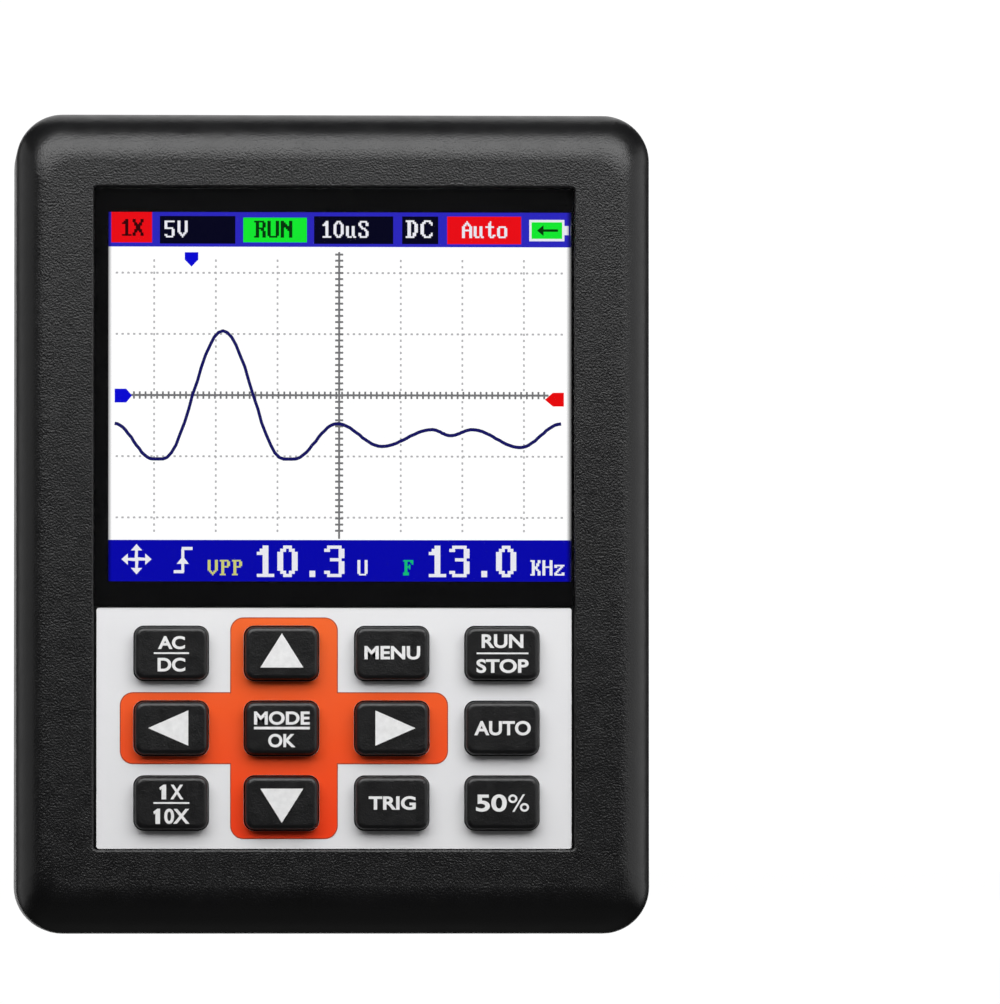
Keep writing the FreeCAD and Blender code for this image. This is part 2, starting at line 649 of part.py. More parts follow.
def input_jack():
    """The signal socket: a block with a round bore, and three spring contacts beside it."""
    front = "jack_level + jack_depth / 2"
    middle = "(jack_bottom + jack_shoulder) / 2"
    block = slab("jack_block", "jack_across", middle, "jack_width",
                 "jack_shoulder - jack_bottom", "jack_level - jack_depth / 2", front)
    collar = pole("jack_collar_rod", "jack_across", "jack_level", "jack_collar",
                  "jack_shoulder", "jack_mouth")
    bore = pole("jack_bore_rod", "jack_across", "jack_level", "jack_bore",
                "jack_bottom", "jack_mouth")
    windows = []
    contacts = []
    for side, drop in CONTACT_PLACES:
        up = f"jack_shoulder - {drop}"
        place = f"{side + 1}_{int(drop)}"
        windows.append(slab(
            f"jack_window_{place}", f"jack_across + {side} * (jack_width / 2 + contact_window) / 2",
            up, "jack_width / 2 - contact_window", "contact_width + 2 * fit_gap",
            "jack_level - window_drop", front))
        leaf = slab(f"contact_leaf_{place}",
                    f"jack_across + {side} * (contact_inner + contact_leaf / 2)", up,
                    "contact_leaf", "contact_width", "jack_level - contact_drop", front)
        foot = slab(f"contact_foot_{place}",
                    f"jack_across + {side} * (contact_inner + contact_foot) / 2", up,
                    "contact_foot - contact_inner", "contact_width",
                    f"{front} - foot_thickness", front)
        contacts.append(fuse(f"jack_contact_{place}", [leaf, foot]))
    solid = fuse("jack_solid", [block, collar])
    sub_part(cut("input_jack_body", solid, [bore] + windows), "input_jack_body")
    sub_part(group("input_jack_contacts", contacts), "input_jack_contacts")


def usb_socket():
    """The charging socket: a folded metal shell around a tongue on an insulating base."""
    front = "board_back"
    back = "board_back - usb_depth"
    middle = "(usb_top + usb_bottom) / 2"
    outer = slab("usb_outer", "usb_across", middle, "usb_width", "usb_top - usb_bottom",
                 back, front)
    inner = slab("usb_inner", "usb_across", middle, "usb_width - 2 * usb_wall",
                 "usb_top - usb_bottom", f"{back} + usb_wall", f"{front} - usb_wall")
    sub_part(cut("usb_socket_shell", outer, [inner]), "usb_socket_shell")
    base = slab("usb_base", "usb_across", "usb_bottom + tongue_base / 2",
                "usb_width - 2 * usb_wall", "tongue_base",
                f"{back} + usb_wall", f"{front} - usb_wall")
    tongue = slab("usb_tongue", "usb_across", "(tongue_top + usb_bottom) / 2", "tongue_width",
                  "tongue_top - usb_bottom", "board_back - usb_depth / 2 - tongue_thickness / 2",
                  "board_back - usb_depth / 2 + tongue_thickness / 2")
    sub_part(fuse("usb_socket_tongue", [base, tongue]), "usb_socket_tongue")


def power_switch():
    """The slide switch: a housing on the board's edge and a knob with a round tip."""
    block = slab("slide_block", "(slide_across + slide_outer) / 2", "slide_middle",
                 "slide_outer - slide_across", "slide_height", "slide_back", "board_back")
    slot = slab("slide_channel", "(knob_inner - slide_gap + slide_outer) / 2", "slide_middle",
                "slide_outer - knob_inner + slide_gap",
                "slide_travel + 2 * knob_radius + 2 * slide_gap",
                "knob_level - knob_depth / 2 - slide_gap",
                "knob_level + knob_depth / 2 + slide_gap")
    sub_part(cut("power_switch_body", block, [slot]), "power_switch_body")
    stem = slab("knob_stem", "(knob_inner + knob_tip - knob_radius) / 2", "knob_rest",
                "knob_tip - knob_radius - knob_inner", "2 * knob_radius",
                "knob_level - knob_depth / 2", "knob_level + knob_depth / 2")
    tip = rod("knob_round", "knob_tip - knob_radius", "knob_rest", "knob_radius",
              "knob_level - knob_depth / 2", "knob_level + knob_depth / 2")
    sub_part(fuse("power_switch_knob", [stem, tip]), "power_switch_knob")


def battery():
    """The pouch cell on its tape, with the plug and header that join it to the board."""
    cell = plate("battery_cell", "cell_width", "cell_top - cell_bottom", "cell_radius",
                 "cell_back", "cell_front", up="(cell_top + cell_bottom) / 2")
    sub_part(cell, "battery_cell")
    sub_part(slab("battery_tape", "0", "(cell_top + cell_bottom) / 2", "battery_tape_width",
                  "battery_tape_height", "rear_level + rear_wall", "cell_back"), "battery_tape")
    header_depth = "plug_depth + 2 * header_wall"
    block = slab("header_block", "lead_across", "(header_top + header_bottom) / 2",
                 "plug_width + 2 * header_wall", "header_top - header_bottom",
                 f"board_back - ({header_depth})", "board_back")
    socket = slab("header_socket", "lead_across", "(header_top + plug_bottom) / 2",
                  "plug_width", "header_top - plug_bottom",
                  f"board_back - ({header_depth}) + header_wall", "board_back - header_wall")
    sub_part(cut("battery_header", block, [socket]), "battery_header")
    plug = slab("battery_plug", "lead_across", "(plug_top + plug_bottom) / 2", "plug_width",
                "plug_top - plug_bottom", f"board_back - ({header_depth}) + header_wall",
                "board_back - header_wall")
    sub_part(plug, "battery_plug")


def battery_lead(label, side):
    """One lead: up from the cell, over in two tangent bends and down into the plug."""
    across = size(f"lead_across + {side} * lead_pitch / 2")
    rear, fore = -size("lead_back"), -size("lead_front")
    crest, bend = size("lead_crest"), size("lead_bend")
    half = bend * (1 - math.cos(QUARTER_TURN / 2))

    def at(y, z):
        return Vector(across, y, z)

    path = Part.Wire([
        Part.LineSegment(at(rear, size("cell_top")), at(rear, crest - bend)).toShape(),
        Part.Arc(at(rear, crest - bend), at(rear - half, crest - half),
                 at(rear - bend, crest)).toShape(),
        Part.LineSegment(at(rear - bend, crest), at(fore + bend, crest)).toShape(),
        Part.Arc(at(fore + bend, crest), at(fore + half, crest - half),
                 at(fore, crest - bend)).toShape(),
        Part.LineSegment(at(fore, crest - bend), at(fore, size("plug_top"))).toShape(),
    ])
    ring = Part.Circle(at(rear, size("cell_top")), Vector(0, 0, 1), size("lead_radius"))
    lead = doc.addObject("Part::Feature", label)
    lead.Shape = path.makePipeShell([Part.Wire(ring.toShape())], True, True)
    lead.Placement = Placement()
    return sub_part(lead, label)


def trimmer():
    """The small trimmer: a round base on the board and a slotted rotor that turns in it."""
    place = ("trimmer_across", "trimmer_up")
    base = rod("trimmer_disc", *place, "trimmer_radius", "trimmer_back", "board_back")
    bore = rod("trimmer_bore", *place, "rotor_hub + hub_gap", "trimmer_back", "hub_end + hub_gap")
    sub_part(cut("trimmer_base", base, [bore]), "trimmer_base")
    disc = rod("rotor_disc", *place, "rotor_radius", "rotor_back", "trimmer_back - hub_gap")
    hub = rod("rotor_hub_rod", *place, "rotor_hub", "trimmer_back - hub_gap", "hub_end")
    rotor = fuse("rotor_solid", [disc, hub])
    slot = slab("rotor_slot", *place, f"2 * rotor_radius + {PAST}", "rotor_slot",
                "rotor_back", "rotor_back + slot_depth")
    sub_part(cut("trimmer_rotor", rotor, [slot]), "trimmer_rotor")


def chip(name, across, up, width, height, thickness):
    """A chip on the board's back: its body, and its pins as one thin skirt on the board."""
    body = slab(name + "_case", across, up, width, height,
                f"board_back - {thickness}", "board_back - pin_lift")
    pins = slab(name + "_pins", across, up, f"{width} + 2 * pin_reach",
                f"{height} - pin_reach", "board_back - pin_top", "board_back")
    return fuse(name, [body, pins])


def on_board(label, kind, width, height):
    """A plain block soldered to the board's back."""
    block = slab(label, f"{kind}_across", f"{kind}_up", width, height,
                 f"board_back - {kind}_thickness", "board_back")
    return sub_part(block, label)


def board_components():
    """What is soldered to the back of the board."""
    sub_part(chip("processor_chip", "processor_across", "processor_up", "processor_side",
                  "processor_side", "processor_thickness"), "processor_chip")
    sub_part(chip("converter_chip", "converter_across", "converter_up", "converter_width",
                  "converter_height", "converter_thickness"), "converter_chip")
    small = [chip(f"small_chip_{number}", across, up, "small_chip_width",
                  "small_chip_height", "small_chip_thickness")
             for number, (across, up) in enumerate(SMALL_CHIP_PLACES)]
    sub_part(group("small_chips", small), "small_chips")
    on_board("crystal", "crystal", "crystal_width", "crystal_height")
    on_board("coupling_relay", "relay", "relay_width", "relay_height")
    on_board("power_inductor", "inductor", "inductor_side", "inductor_side")
    outer = slab("can_outer", "can_across", "can_up", "can_width", "can_height",
                 "board_back - can_thickness", "board_back")
    inner = slab("can_inner", "can_across", "can_up", "can_width - 2 * can_sheet",
                 "can_height - 2 * can_sheet", "board_back - can_thickness + can_sheet",
                 "board_back")
    sub_part(cut("shield_can", outer, [inner]), "shield_can")
    cans = [rod(f"capacitor_{number}", across, up, "capacitor_radius",
                "board_back - capacitor_height", "board_back")
            for number, (across, up) in enumerate(CAPACITOR_PLACES)]
    sub_part(group("capacitors", cans), "capacitors")


# ---- Whole object ----

def check_and_export():
    """Stop on any failed feature or bad shape, then write each piece to a file of its own."""
    doc.recompute()
    for thing in doc.Objects:
        if "Invalid" in thing.State or "Error" in thing.State:
            raise RuntimeError(f"{thing.Label} failed: {thing.State}")
    for piece in sub_parts:
        if piece.Shape.isNull() or not piece.Shape.isValid() or not piece.Shape.Solids:
            raise RuntimeError(f"{piece.Label} has no valid solid")
    os.makedirs("parts", exist_ok=True)
    for piece in sub_parts:
        piece.Shape.exportStep(f"parts/{piece.Label}.step")
        print(f"{piece.Label}: {len(piece.Shape.Solids)} solid(s), {piece.Shape.Volume:.1f} mm3")


def build():
    write_sheet()
    front_shell()
    rear_shell()
    screws()
    window()
    keypad_overlay()
    for name, across, up in key_places():
        key(name, across, up)
        plunger(name, across, up)
    switch_bodies()
    display()
    lcd_flex()
    main_board()
    input_jack()
    usb_socket()
    power_switch()
    battery()
    battery_lead("battery_lead_red", 1)
    battery_lead("battery_lead_black", -1)
    trimmer()
    board_components()
    check_and_export()


build()
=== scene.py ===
import math

import bmesh
import bpy
from mathutils import Matrix, Vector

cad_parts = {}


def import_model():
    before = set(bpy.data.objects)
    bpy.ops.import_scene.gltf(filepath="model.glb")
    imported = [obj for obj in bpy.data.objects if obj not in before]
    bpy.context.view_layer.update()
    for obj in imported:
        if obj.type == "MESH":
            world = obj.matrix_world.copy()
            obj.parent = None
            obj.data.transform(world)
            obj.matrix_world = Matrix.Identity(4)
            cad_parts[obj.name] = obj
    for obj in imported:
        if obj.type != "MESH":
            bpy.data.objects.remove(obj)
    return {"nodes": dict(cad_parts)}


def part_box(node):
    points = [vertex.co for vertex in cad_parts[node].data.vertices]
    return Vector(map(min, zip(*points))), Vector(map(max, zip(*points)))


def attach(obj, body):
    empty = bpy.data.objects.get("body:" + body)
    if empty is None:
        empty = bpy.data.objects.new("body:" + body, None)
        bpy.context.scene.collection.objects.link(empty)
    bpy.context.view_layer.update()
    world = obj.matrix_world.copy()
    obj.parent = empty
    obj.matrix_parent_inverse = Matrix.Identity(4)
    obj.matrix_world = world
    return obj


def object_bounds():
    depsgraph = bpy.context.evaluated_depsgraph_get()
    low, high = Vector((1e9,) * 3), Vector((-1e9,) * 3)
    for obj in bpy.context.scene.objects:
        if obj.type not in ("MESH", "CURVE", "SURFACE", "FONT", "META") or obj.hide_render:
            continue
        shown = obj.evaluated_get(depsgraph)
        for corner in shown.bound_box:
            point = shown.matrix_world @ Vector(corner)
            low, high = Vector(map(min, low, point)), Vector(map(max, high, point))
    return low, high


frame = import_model()
cad_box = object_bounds()

# Lengths are in millimetres until they become geometry, and a "level" is a depth counted from
# the middle of the case towards the user, who looks along +Y, so a level is -Y.
MM = 0.001
INK = 0.02
ARC_STEPS = 8
KEYS = ("ac_dc", "up", "menu", "run_stop", "left", "mode_ok", "right", "auto",
        "1x_10x", "down", "trig", "50_percent")
FLANGE = 0.6
KEY_CORNER = 0.95


# ---- Places, read from the frame ----

def span(node):
    """A node's left, right, bottom, top, back level and front level, in millimetres."""
    low, high = (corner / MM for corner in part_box(node))
    return low.x, high.x, low.z, high.z, -high.y, -low.y


def middle(node):
    left, right, bottom, top, _, _ = span(node)
    return (left + right) / 2, (bottom + top) / 2


def cap_half(name):
    """Half the width and half the height of a key's cap, which its hidden flange goes round."""
    left, right, bottom, top, _, _ = span("key_" + name)
    return (right - left) / 2 - FLANGE, (top - bottom) / 2 - FLANGE


# ---- Colour and material helpers ----

def srgb(red, green, blue):
    """A screen colour, 0 to 255, as the linear colour that a shader takes."""
    def linear(value):
        share = value / 255
        return share / 12.92 if share <= 0.04045 else ((share + 0.055) / 1.055) ** 2.4
    return linear(red), linear(green), linear(blue), 1.0


class Finish:
    """A Principled material, with the nodes that give it grain, mottling and uneven roughness."""

    def __init__(self, name, colour, roughness, **uniform):
        self.material = bpy.data.materials.new(name)
        self.material.use_nodes = True
        self.tree = self.material.node_tree
        self.shader = self.tree.nodes["Principled BSDF"]
        self.shader.inputs["Base Color"].default_value = colour
        self.shader.inputs["Roughness"].default_value = roughness
        for socket, value in uniform.items():
            self.shader.inputs[socket.replace("_", " ")].default_value = value
        self.colour = colour
        self.roughness = roughness
        self.place = self.node("ShaderNodeTexCoord").outputs["Object"]
        self.normal = None

    def node(self, kind, **settings):
        made = self.tree.nodes.new(kind)
        for name, value in settings.items():
            setattr(made, name, value)
        return made

    def link(self, source, target):
        self.tree.links.new(source, target)

    def noise(self, size_mm, detail=3.0):
        """Noise whose features are about this size."""
        noise = self.node("ShaderNodeTexNoise")
        noise.inputs["Scale"].default_value = 1 / (size_mm * MM)
        noise.inputs["Detail"].default_value = detail
        self.link(self.place, noise.inputs["Vector"])
        return noise.outputs["Fac"]

    def ranged(self, source, low, high, start=0.3, end=0.7):
        """The source's middle stretch spread over a range."""
        spread = self.node("ShaderNodeMapRange")
        for socket, value in (("From Min", start), ("From Max", end),
                              ("To Min", low), ("To Max", high)):
            spread.inputs[socket].default_value = value
        self.link(source, spread.inputs["Value"])
        return spread.outputs["Result"]

    def mottle(self, size_mm, other, amount=1.0):
        """Drift between the base colour and another one."""
        mix = self.node("ShaderNodeMix", data_type="RGBA")
        mix.inputs["A"].default_value = self.colour
        mix.inputs["B"].default_value = other
        self.link(self.ranged(self.noise(size_mm), 0.0, amount), mix.inputs["Factor"])
        self.link(mix.outputs["Result"], self.shader.inputs["Base Color"])
        return self

    def uneven(self, size_mm, amount):
        """Vary the roughness a little either way."""
        low, high = self.roughness - amount, self.roughness + amount
        self.link(self.ranged(self.noise(size_mm), low, high), self.shader.inputs["Roughness"])
        return self

    def bump(self, height, depth_mm, strength=1.0):
        """Add a bump from a height to the ones that are there already."""
        bump = self.node("ShaderNodeBump")
        bump.inputs["Distance"].default_value = depth_mm * MM
        if isinstance(strength, float):
            bump.inputs["Strength"].default_value = strength
        else:
            self.link(strength, bump.inputs["Strength"])
        self.link(height, bump.inputs["Height"])
        if self.normal:
            self.link(self.normal, bump.inputs["Normal"])
        self.normal = bump.outputs["Normal"]
        self.link(self.normal, self.shader.inputs["Normal"])
        return self

    def grain(self, size_mm, depth_mm, strength=1.0):
        return self.bump(self.noise(size_mm, 2.0), depth_mm, strength)


# ---- Materials of the outside ----

ROLL_GRAIN = 0.12
GRAIN_STARTS = 1.0
GRAIN_FULL = 0.15


def case_plastic():
    """Black ABS: spark-eroded grain on the flat face and back, smoother on the rolled edges."""
    finish = Finish("case_plastic", srgb(12, 12, 13), 0.33, Specular_IOR_Level=0.5)
    finish.mottle(6.0, srgb(15, 15, 16)).uneven(2.0, 0.04)
    parts = finish.node("ShaderNodeSeparateXYZ")
    finish.link(finish.place, parts.inputs["Vector"])
    depth = finish.node("ShaderNodeMath", operation="ABSOLUTE")
    finish.link(parts.outputs["Y"], depth.inputs[0])
    face = span("front_shell")[5]
    strength = finish.ranged(depth.outputs["Value"], ROLL_GRAIN, 1.0,
                             (face - GRAIN_STARTS) * MM, (face - GRAIN_FULL) * MM)
    finish.grain(0.2, 0.07, strength)
    finish.grain(0.9, 0.045, 0.5)
    return finish.material


def window_acrylic():
    """Clear acrylic with a hard coat, so it is smooth but never quite perfect."""
    finish = Finish("window_acrylic", (1.0, 1.0, 1.0, 1.0), 0.02, IOR=1.49,
                    Transmission_Weight=1.0, Specular_IOR_Level=0.3)
    finish.grain(14.0, 0.002, 0.1)
    return finish.material


def white_film():
    """The keypad's printed film: satin white with a faint pearly drift."""
    finish = Finish("white_film", srgb(225, 225, 227), 0.42, Specular_IOR_Level=0.4)
    finish.mottle(9.0, srgb(228, 228, 229)).uneven(1.5, 0.05)
    finish.grain(0.18, 0.01, 0.4)
    return finish.material


def orange_ink():
    """Screen-printed orange, with painted light and shade: lighter and yellower at the top of the
    cross, deeper and redder at its foot.
    """
    finish = Finish("orange_ink", srgb(238, 92, 30), 0.42, Specular_IOR_Level=0.35)
    _, _, bottom, top, _, _ = span("keypad_overlay")
    parts = finish.node("ShaderNodeSeparateXYZ")
    finish.link(finish.place, parts.inputs["Vector"])
    drift = finish.node("ShaderNodeMath", operation="MULTIPLY_ADD")
    finish.link(finish.noise(5.0), drift.inputs[0])
    drift.inputs[1].default_value = 2.0 * MM
    finish.link(parts.outputs["Z"], drift.inputs[2])
    # Painted light and shade: a darker, redder colour at the foot of the cross and a lighter one at
    # its top, blended by height with a little noise.
    painted_light_ramp = finish.node("ShaderNodeMix", data_type="RGBA")
    painted_light_ramp.inputs["A"].default_value = srgb(244, 54, 8)
    painted_light_ramp.inputs["B"].default_value = srgb(238, 100, 40)
    height = finish.ranged(drift.outputs["Value"], 0.0, 1.0, bottom * MM, top * MM)
    finish.link(height, painted_light_ramp.inputs["Factor"])
    finish.link(painted_light_ramp.outputs["Result"], finish.shader.inputs["Base Color"])
    finish.uneven(1.5, 0.04)
    finish.grain(0.18, 0.01, 0.4)
    return finish.material


def line_ink():
    """The thin line printed round the cross."""
    finish = Finish("line_ink", srgb(168, 62, 30), 0.45, Specular_IOR_Level=0.35)
    finish.mottle(1.0, srgb(150, 52, 26)).uneven(0.6, 0.05)
    return finish.material


def key_plastic():
    """Black key caps, with a finer grain than the case."""
    finish = Finish("key_plastic", srgb(13, 13, 14), 0.36, Specular_IOR_Level=0.5)
    finish.mottle(3.0, srgb(17, 17, 18)).uneven(0.8, 0.05)
    finish.grain(0.16, 0.04, 0.8)
    return finish.material


def legend_ink():
    finish = Finish("legend_ink", srgb(232, 232, 232), 0.55)
    finish.mottle(0.6, srgb(220, 220, 220)).uneven(0.5, 0.05)
    finish.grain(0.12, 0.01, 0.5)
    return finish.material


def border_ink():
    """The black printed on the back of the window."""
    finish = Finish("border_ink", srgb(4, 4, 5), 0.6, Specular_IOR_Level=0.05)
    finish.mottle(4.0, srgb(7, 7, 8)).uneven(2.0, 0.05)
    return finish.material


def moulded(name, colour, other, roughness):
    """A moulded plastic part inside the case or on its edge."""
    finish = Finish(name, colour, roughness)
    finish.mottle(1.5, other).uneven(1.0, 0.06)
    finish.grain(0.15, 0.01, 0.5)
    return finish.material


def metal(name, colour, other, roughness):
    """Plated metal with fine scratches along one direction."""
    finish = Finish(name, colour, roughness, Metallic=1.0)
    finish.mottle(0.8, other)
    stretch = finish.node("ShaderNodeMapping")
    stretch.inputs["Scale"].default_value = (1.0, 1.0, 14.0)
    finish.link(finish.place, stretch.inputs["Vector"])
    plain, finish.place = finish.place, stretch.outputs["Vector"]
    finish.uneven(0.5, 0.1)
    finish.grain(0.5, 0.004, 0.5)
    finish.place = plain
    return finish.material


def solder_mask():
    """Green solder mask over copper traces, which show as slightly raised bands."""
    finish = Finish("solder_mask", srgb(10, 78, 38), 0.35)
    finish.mottle(5.0, srgb(14, 92, 46))
    traces = finish.node("ShaderNodeTexBrick", offset=0.5)
    traces.inputs["Scale"].default_value = 1 / (3.0 * MM)
    finish.link(finish.place, traces.inputs["Vector"])
    finish.bump(traces.outputs["Fac"], 0.03, 0.6)
    return finish.material


def foam():
    """Black closed-cell foam."""
    finish = Finish("foam", srgb(28, 28, 30), 0.85)
    cells = finish.node("ShaderNodeTexVoronoi")
    cells.inputs["Scale"].default_value = 1 / (0.35 * MM)
    finish.link(finish.place, cells.inputs["Vector"])
    finish.mottle(0.5, srgb(40, 40, 42))
    finish.bump(cells.outputs["Distance"], 0.15, 0.8)
    return finish.material


def tape():
    finish = Finish("tape", srgb(205, 200, 186), 0.5, Transmission_Weight=0.2)
    finish.mottle(1.0, srgb(190, 186, 170)).grain(0.4, 0.02, 0.5)
    return finish.material


def display_cell():
    """The display's dark glass, where no picture is shown."""
    finish = Finish("display_cell", srgb(30, 32, 38), 0.08, Specular_IOR_Level=0.5)
    finish.mottle(7.0, srgb(34, 37, 44)).uneven(3.0, 0.02)
    return finish.material


def pouch_foil():
    """The battery's foil, which is a little crinkled."""
    finish = Finish("pouch_foil", srgb(188, 190, 193), 0.32, Metallic=0.9)
    finish.mottle(4.0, srgb(170, 172, 176)).uneven(2.0, 0.08)
    finish.grain(3.0, 0.25, 0.6)
    return finish.material


def lit(name, colour, strength=1.03):
    """A lit part of the picture: it has the fine grid of the display's dots, and a painted shade
    dims it close to the left and right ends, in place of the frame's shadow."""
    finish = Finish(name, (0.0, 0.0, 0.0, 1.0), 0.5, Specular_IOR_Level=0.0,
                    Emission_Strength=strength)
    turn = finish.node("ShaderNodeMapping")
    turn.inputs["Rotation"].default_value = (math.radians(90), 0.0, 0.0)
    finish.link(finish.place, turn.inputs["Vector"])
    mesh = finish.node("ShaderNodeTexBrick", offset=0.0)
    mesh.inputs["Scale"].default_value = 1 / (4 * DOT_WIDE * MM)
    mesh.inputs["Mortar Size"].default_value = 0.004
    mesh.inputs["Color1"].default_value = (1.0, 1.0, 1.0, 1.0)
    mesh.inputs["Color2"].default_value = (0.98, 0.98, 0.98, 1.0)
    mesh.inputs["Mortar"].default_value = (0.93, 0.93, 0.93, 1.0)
    finish.link(turn.outputs["Vector"], mesh.inputs["Vector"])
    tinted = finish.node("ShaderNodeVectorMath", operation="MULTIPLY")
    tinted.inputs[0].default_value = colour[:3]
    finish.link(mesh.outputs["Color"], tinted.inputs[1])
    parts = finish.node("ShaderNodeSeparateXYZ")
    finish.link(finish.place, parts.inputs["Vector"])
    faded = tinted.outputs["Vector"]
    # Painted shade at each end of the picture, where the frame's shadow falls on the real display.
    for side in (-1, 1):
        edge = VIEW_SHIFT + side * VIEW_WIDTH / 2
        shade = finish.ranged(parts.outputs["X"], EDGE_SHADE_LEVEL, 1.0, edge * MM,
                              (edge - side * EDGE_SHADE_WIDTH) * MM)
        dimmed = finish.node("ShaderNodeVectorMath", operation="SCALE")
        finish.link(faded, dimmed.inputs["Vector"])
        finish.link(shade, dimmed.inputs["Scale"])
        faded = dimmed.outputs["Vector"]
    finish.link(faded, finish.shader.inputs["Emission Color"])
    return finish.material


# ---- Flat pieces: prints, legends and the picture ----

WELD_GAP = 0.0005

def prism(name, shapes, back, front, material, body="case"):
    """Closed prisms between two levels. Each shape is a loop of (x, z) points, which may have
    holes after it in the same list, and the faces' triangles come from a filled curve."""
    curve = bpy.data.curves.new(name, "CURVE")
    curve.dimensions = "2D"
    curve.fill_mode = "BOTH"
    curve.extrude = (front - back) / 2 * MM
    for loop in shapes:
        spline = curve.splines.new("POLY")
        spline.points.add(len(loop) - 1)
        for point, (x, z) in zip(spline.points, loop):
            point.co = (x * MM, z * MM, 0.0, 1.0)
        spline.use_cyclic_u = True
    return stand_up(curve, name, (back + front) / 2, material, body)


def stand_up(curve, name, level, material, body):
    """Turn a flat curve or text to face the user at a level, as a mesh that rides on a body."""
    flat = bpy.data.objects.new(name + "_flat", curve)
    bpy.context.scene.collection.objects.link(flat)
    flat.rotation_euler = (math.radians(90), 0.0, 0.0)
    flat.location = (0.0, -level * MM, 0.0)
    bpy.context.view_layer.update()
    mesh = bpy.data.meshes.new_from_object(flat.evaluated_get(
        bpy.context.evaluated_depsgraph_get()))
    mesh.transform(flat.matrix_world)
    bpy.data.objects.remove(flat)
    weld(mesh)
    return add_piece(name, mesh, material, body)


def weld(mesh):
    """Join the seams that filling leaves, so that the mesh is closed."""
    edit = bmesh.new()
    edit.from_mesh(mesh)
    bmesh.ops.remove_doubles(edit, verts=edit.verts, dist=WELD_GAP * MM)
    bmesh.ops.recalc_face_normals(edit, faces=edit.faces)
    edit.to_mesh(mesh)
    edit.free()


def add_piece(name, mesh, material, body):
    mesh.name = name
    mesh.materials.clear()
    mesh.materials.append(material)
    piece = bpy.data.objects.new(name, mesh)
    bpy.context.scene.collection.objects.link(piece)
    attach(piece, body)
    return piece


def boxes(name, rectangles, back, front, material, body="case"):
    """Many closed boxes in one mesh, from (left, right, bottom, top) rectangles."""
    edit = bmesh.new()
    for left, right, bottom, top in rectangles:
        corners = [edit.verts.new((x * MM, -level * MM, z * MM))
                   for level in (front, back)
                   for x, z in ((left, bottom), (right, bottom), (right, top), (left, top))]
        near, far = corners[:4], corners[4:]
        edit.faces.new(near)
        edit.faces.new(far[::-1])
        for side in range(4):
            after = (side + 1) % 4
            edit.faces.new((near[after], near[side], far[side], far[after]))
    mesh = bpy.data.meshes.new(name)
    edit.to_mesh(mesh)
    edit.free()
    return add_piece(name, mesh, material, body)


def rounded_box(left, right, bottom, top, radius):
    """The outline of a rounded rectangle, anticlockwise."""
    points = []
    middles = ((right - radius, bottom + radius), (right - radius, top - radius),
               (left + radius, top - radius), (left + radius, bottom + radius))
    for quarter, (x, z) in enumerate(middles):
        for step in range(ARC_STEPS + 1):
            angle = math.radians(90 * (quarter - 1 + step / ARC_STEPS))
            points.append((x + radius * math.cos(angle), z + radius * math.sin(angle)))
    return points


# ---- The picture on the display ----

DOTS_ACROSS = 320
DOTS_DOWN = 240
VIEW_WIDTH = 47.4
VIEW_HEIGHT = 37.76
VIEW_SHIFT = 0.6
VIEW_UP = 55.27
# The painted shade at the picture's left and right ends: its width, and the dimmest share of light
# that it leaves.
EDGE_SHADE_WIDTH = 0.4
EDGE_SHADE_LEVEL = 0.2
DOT_WIDE = VIEW_WIDTH / DOTS_ACROSS
DOT_HIGH = VIEW_HEIGHT / DOTS_DOWN
PICTURE_LAYER = 0.01
LAYER_FILLED = 0.8

# Ten rows for each letter, from its top row down. A # is a lit dot.
LETTERS = {
    "0": "..###... .##.##.. ##...##. ##...##. ##...##. ##...##. ##...##. ##...##. .##.##.. ..###...",
    "1": "...##... ..###... .####... ...##... ...##... ...##... ...##... ...##... ...##... .######.",
    "3": ".#####.. ##...##. .....##. .....##. ..####.. .....##. .....##. .....##. ##...##. .#####..",
    "5": "#######. ##...... ##...... ##...... ######.. .....##. .....##. .....##. ##...##. .#####..",
    "A": "...#.... ..###... .##.##.. ##...##. ##...##. #######. ##...##. ##...##. ##...##. ##...##.",
    "C": "..####.. .##..##. ##....#. ##...... ##...... ##...... ##...... ##....#. .##..##. ..####..",
    "D": "#####... .##.##.. .##..##. .##..##. .##..##. .##..##. .##..##. .##.##.. .##.##.. #####...",
    "F": "#######. .##..##. .##...#. .##.#... .####... .##.#... .##..... .##..... ####.... ####....",
    "H": "##...##. ##...##. ##...##. ##...##. #######. ##...##. ##...##. ##...##. ##...##. ##...##.",
    "K": "###..##. .##..##. .##.##.. .##.##.. .####... .####... .##.##.. .##..##. .##..##. ###..##.",
    "N": "##...##. ###..##. ####.##. #######. ##.####. ##..###. ##...##. ##...##. ##...##. ##...##.",
    "P": "######.. .##..##. .##..##. .##..##. .#####.. .##..... .##..... .##..... .##..... ####....",
    "R": "######.. .##..##. .##..##. .##..##. .#####.. .##.##.. .##..##. .##..##. .##..##. ###..##.",
    "S": ".#####.. ##...##. ##...##. .##..... ..###... ....##.. .....##. ##...##. ##...##. .#####..",
    "U": "##...##. ##...##. ##...##. ##...##. ##...##. ##...##. ##...##. ##...##. ##...##. .#####..",
    "V": "##...##. ##...##. ##...##. ##...##. ##...##. ##...##. ##...##. .##.##.. ..###... ...#....",
    "X": "##...##. ##...##. .##.##.. .#####.. ..###... ..###... .#####.. .##.##.. ##...##. ##...##.",
    "o": "........ ........ ........ .#####.. ##...##. ##...##. ##...##. ##...##. ##...##. .#####..",
    "t": "...#.... ..##.... ..##.... ######.. ..##.... ..##.... ..##.... ..##.... ..##.##. ...###..",
    "u": "........ ........ ........ ##..##.. ##..##.. ##..##.. ##..##.. ##..##.. ##..##.. .###.##.",
    "z": "........ ........ ........ #######. ##..##.. ...##... ..##.... .##..... ##...##. #######.",
    ".": "........ ........ ........ ........ ........ ........ ........ ........ ...##... ...##...",
}


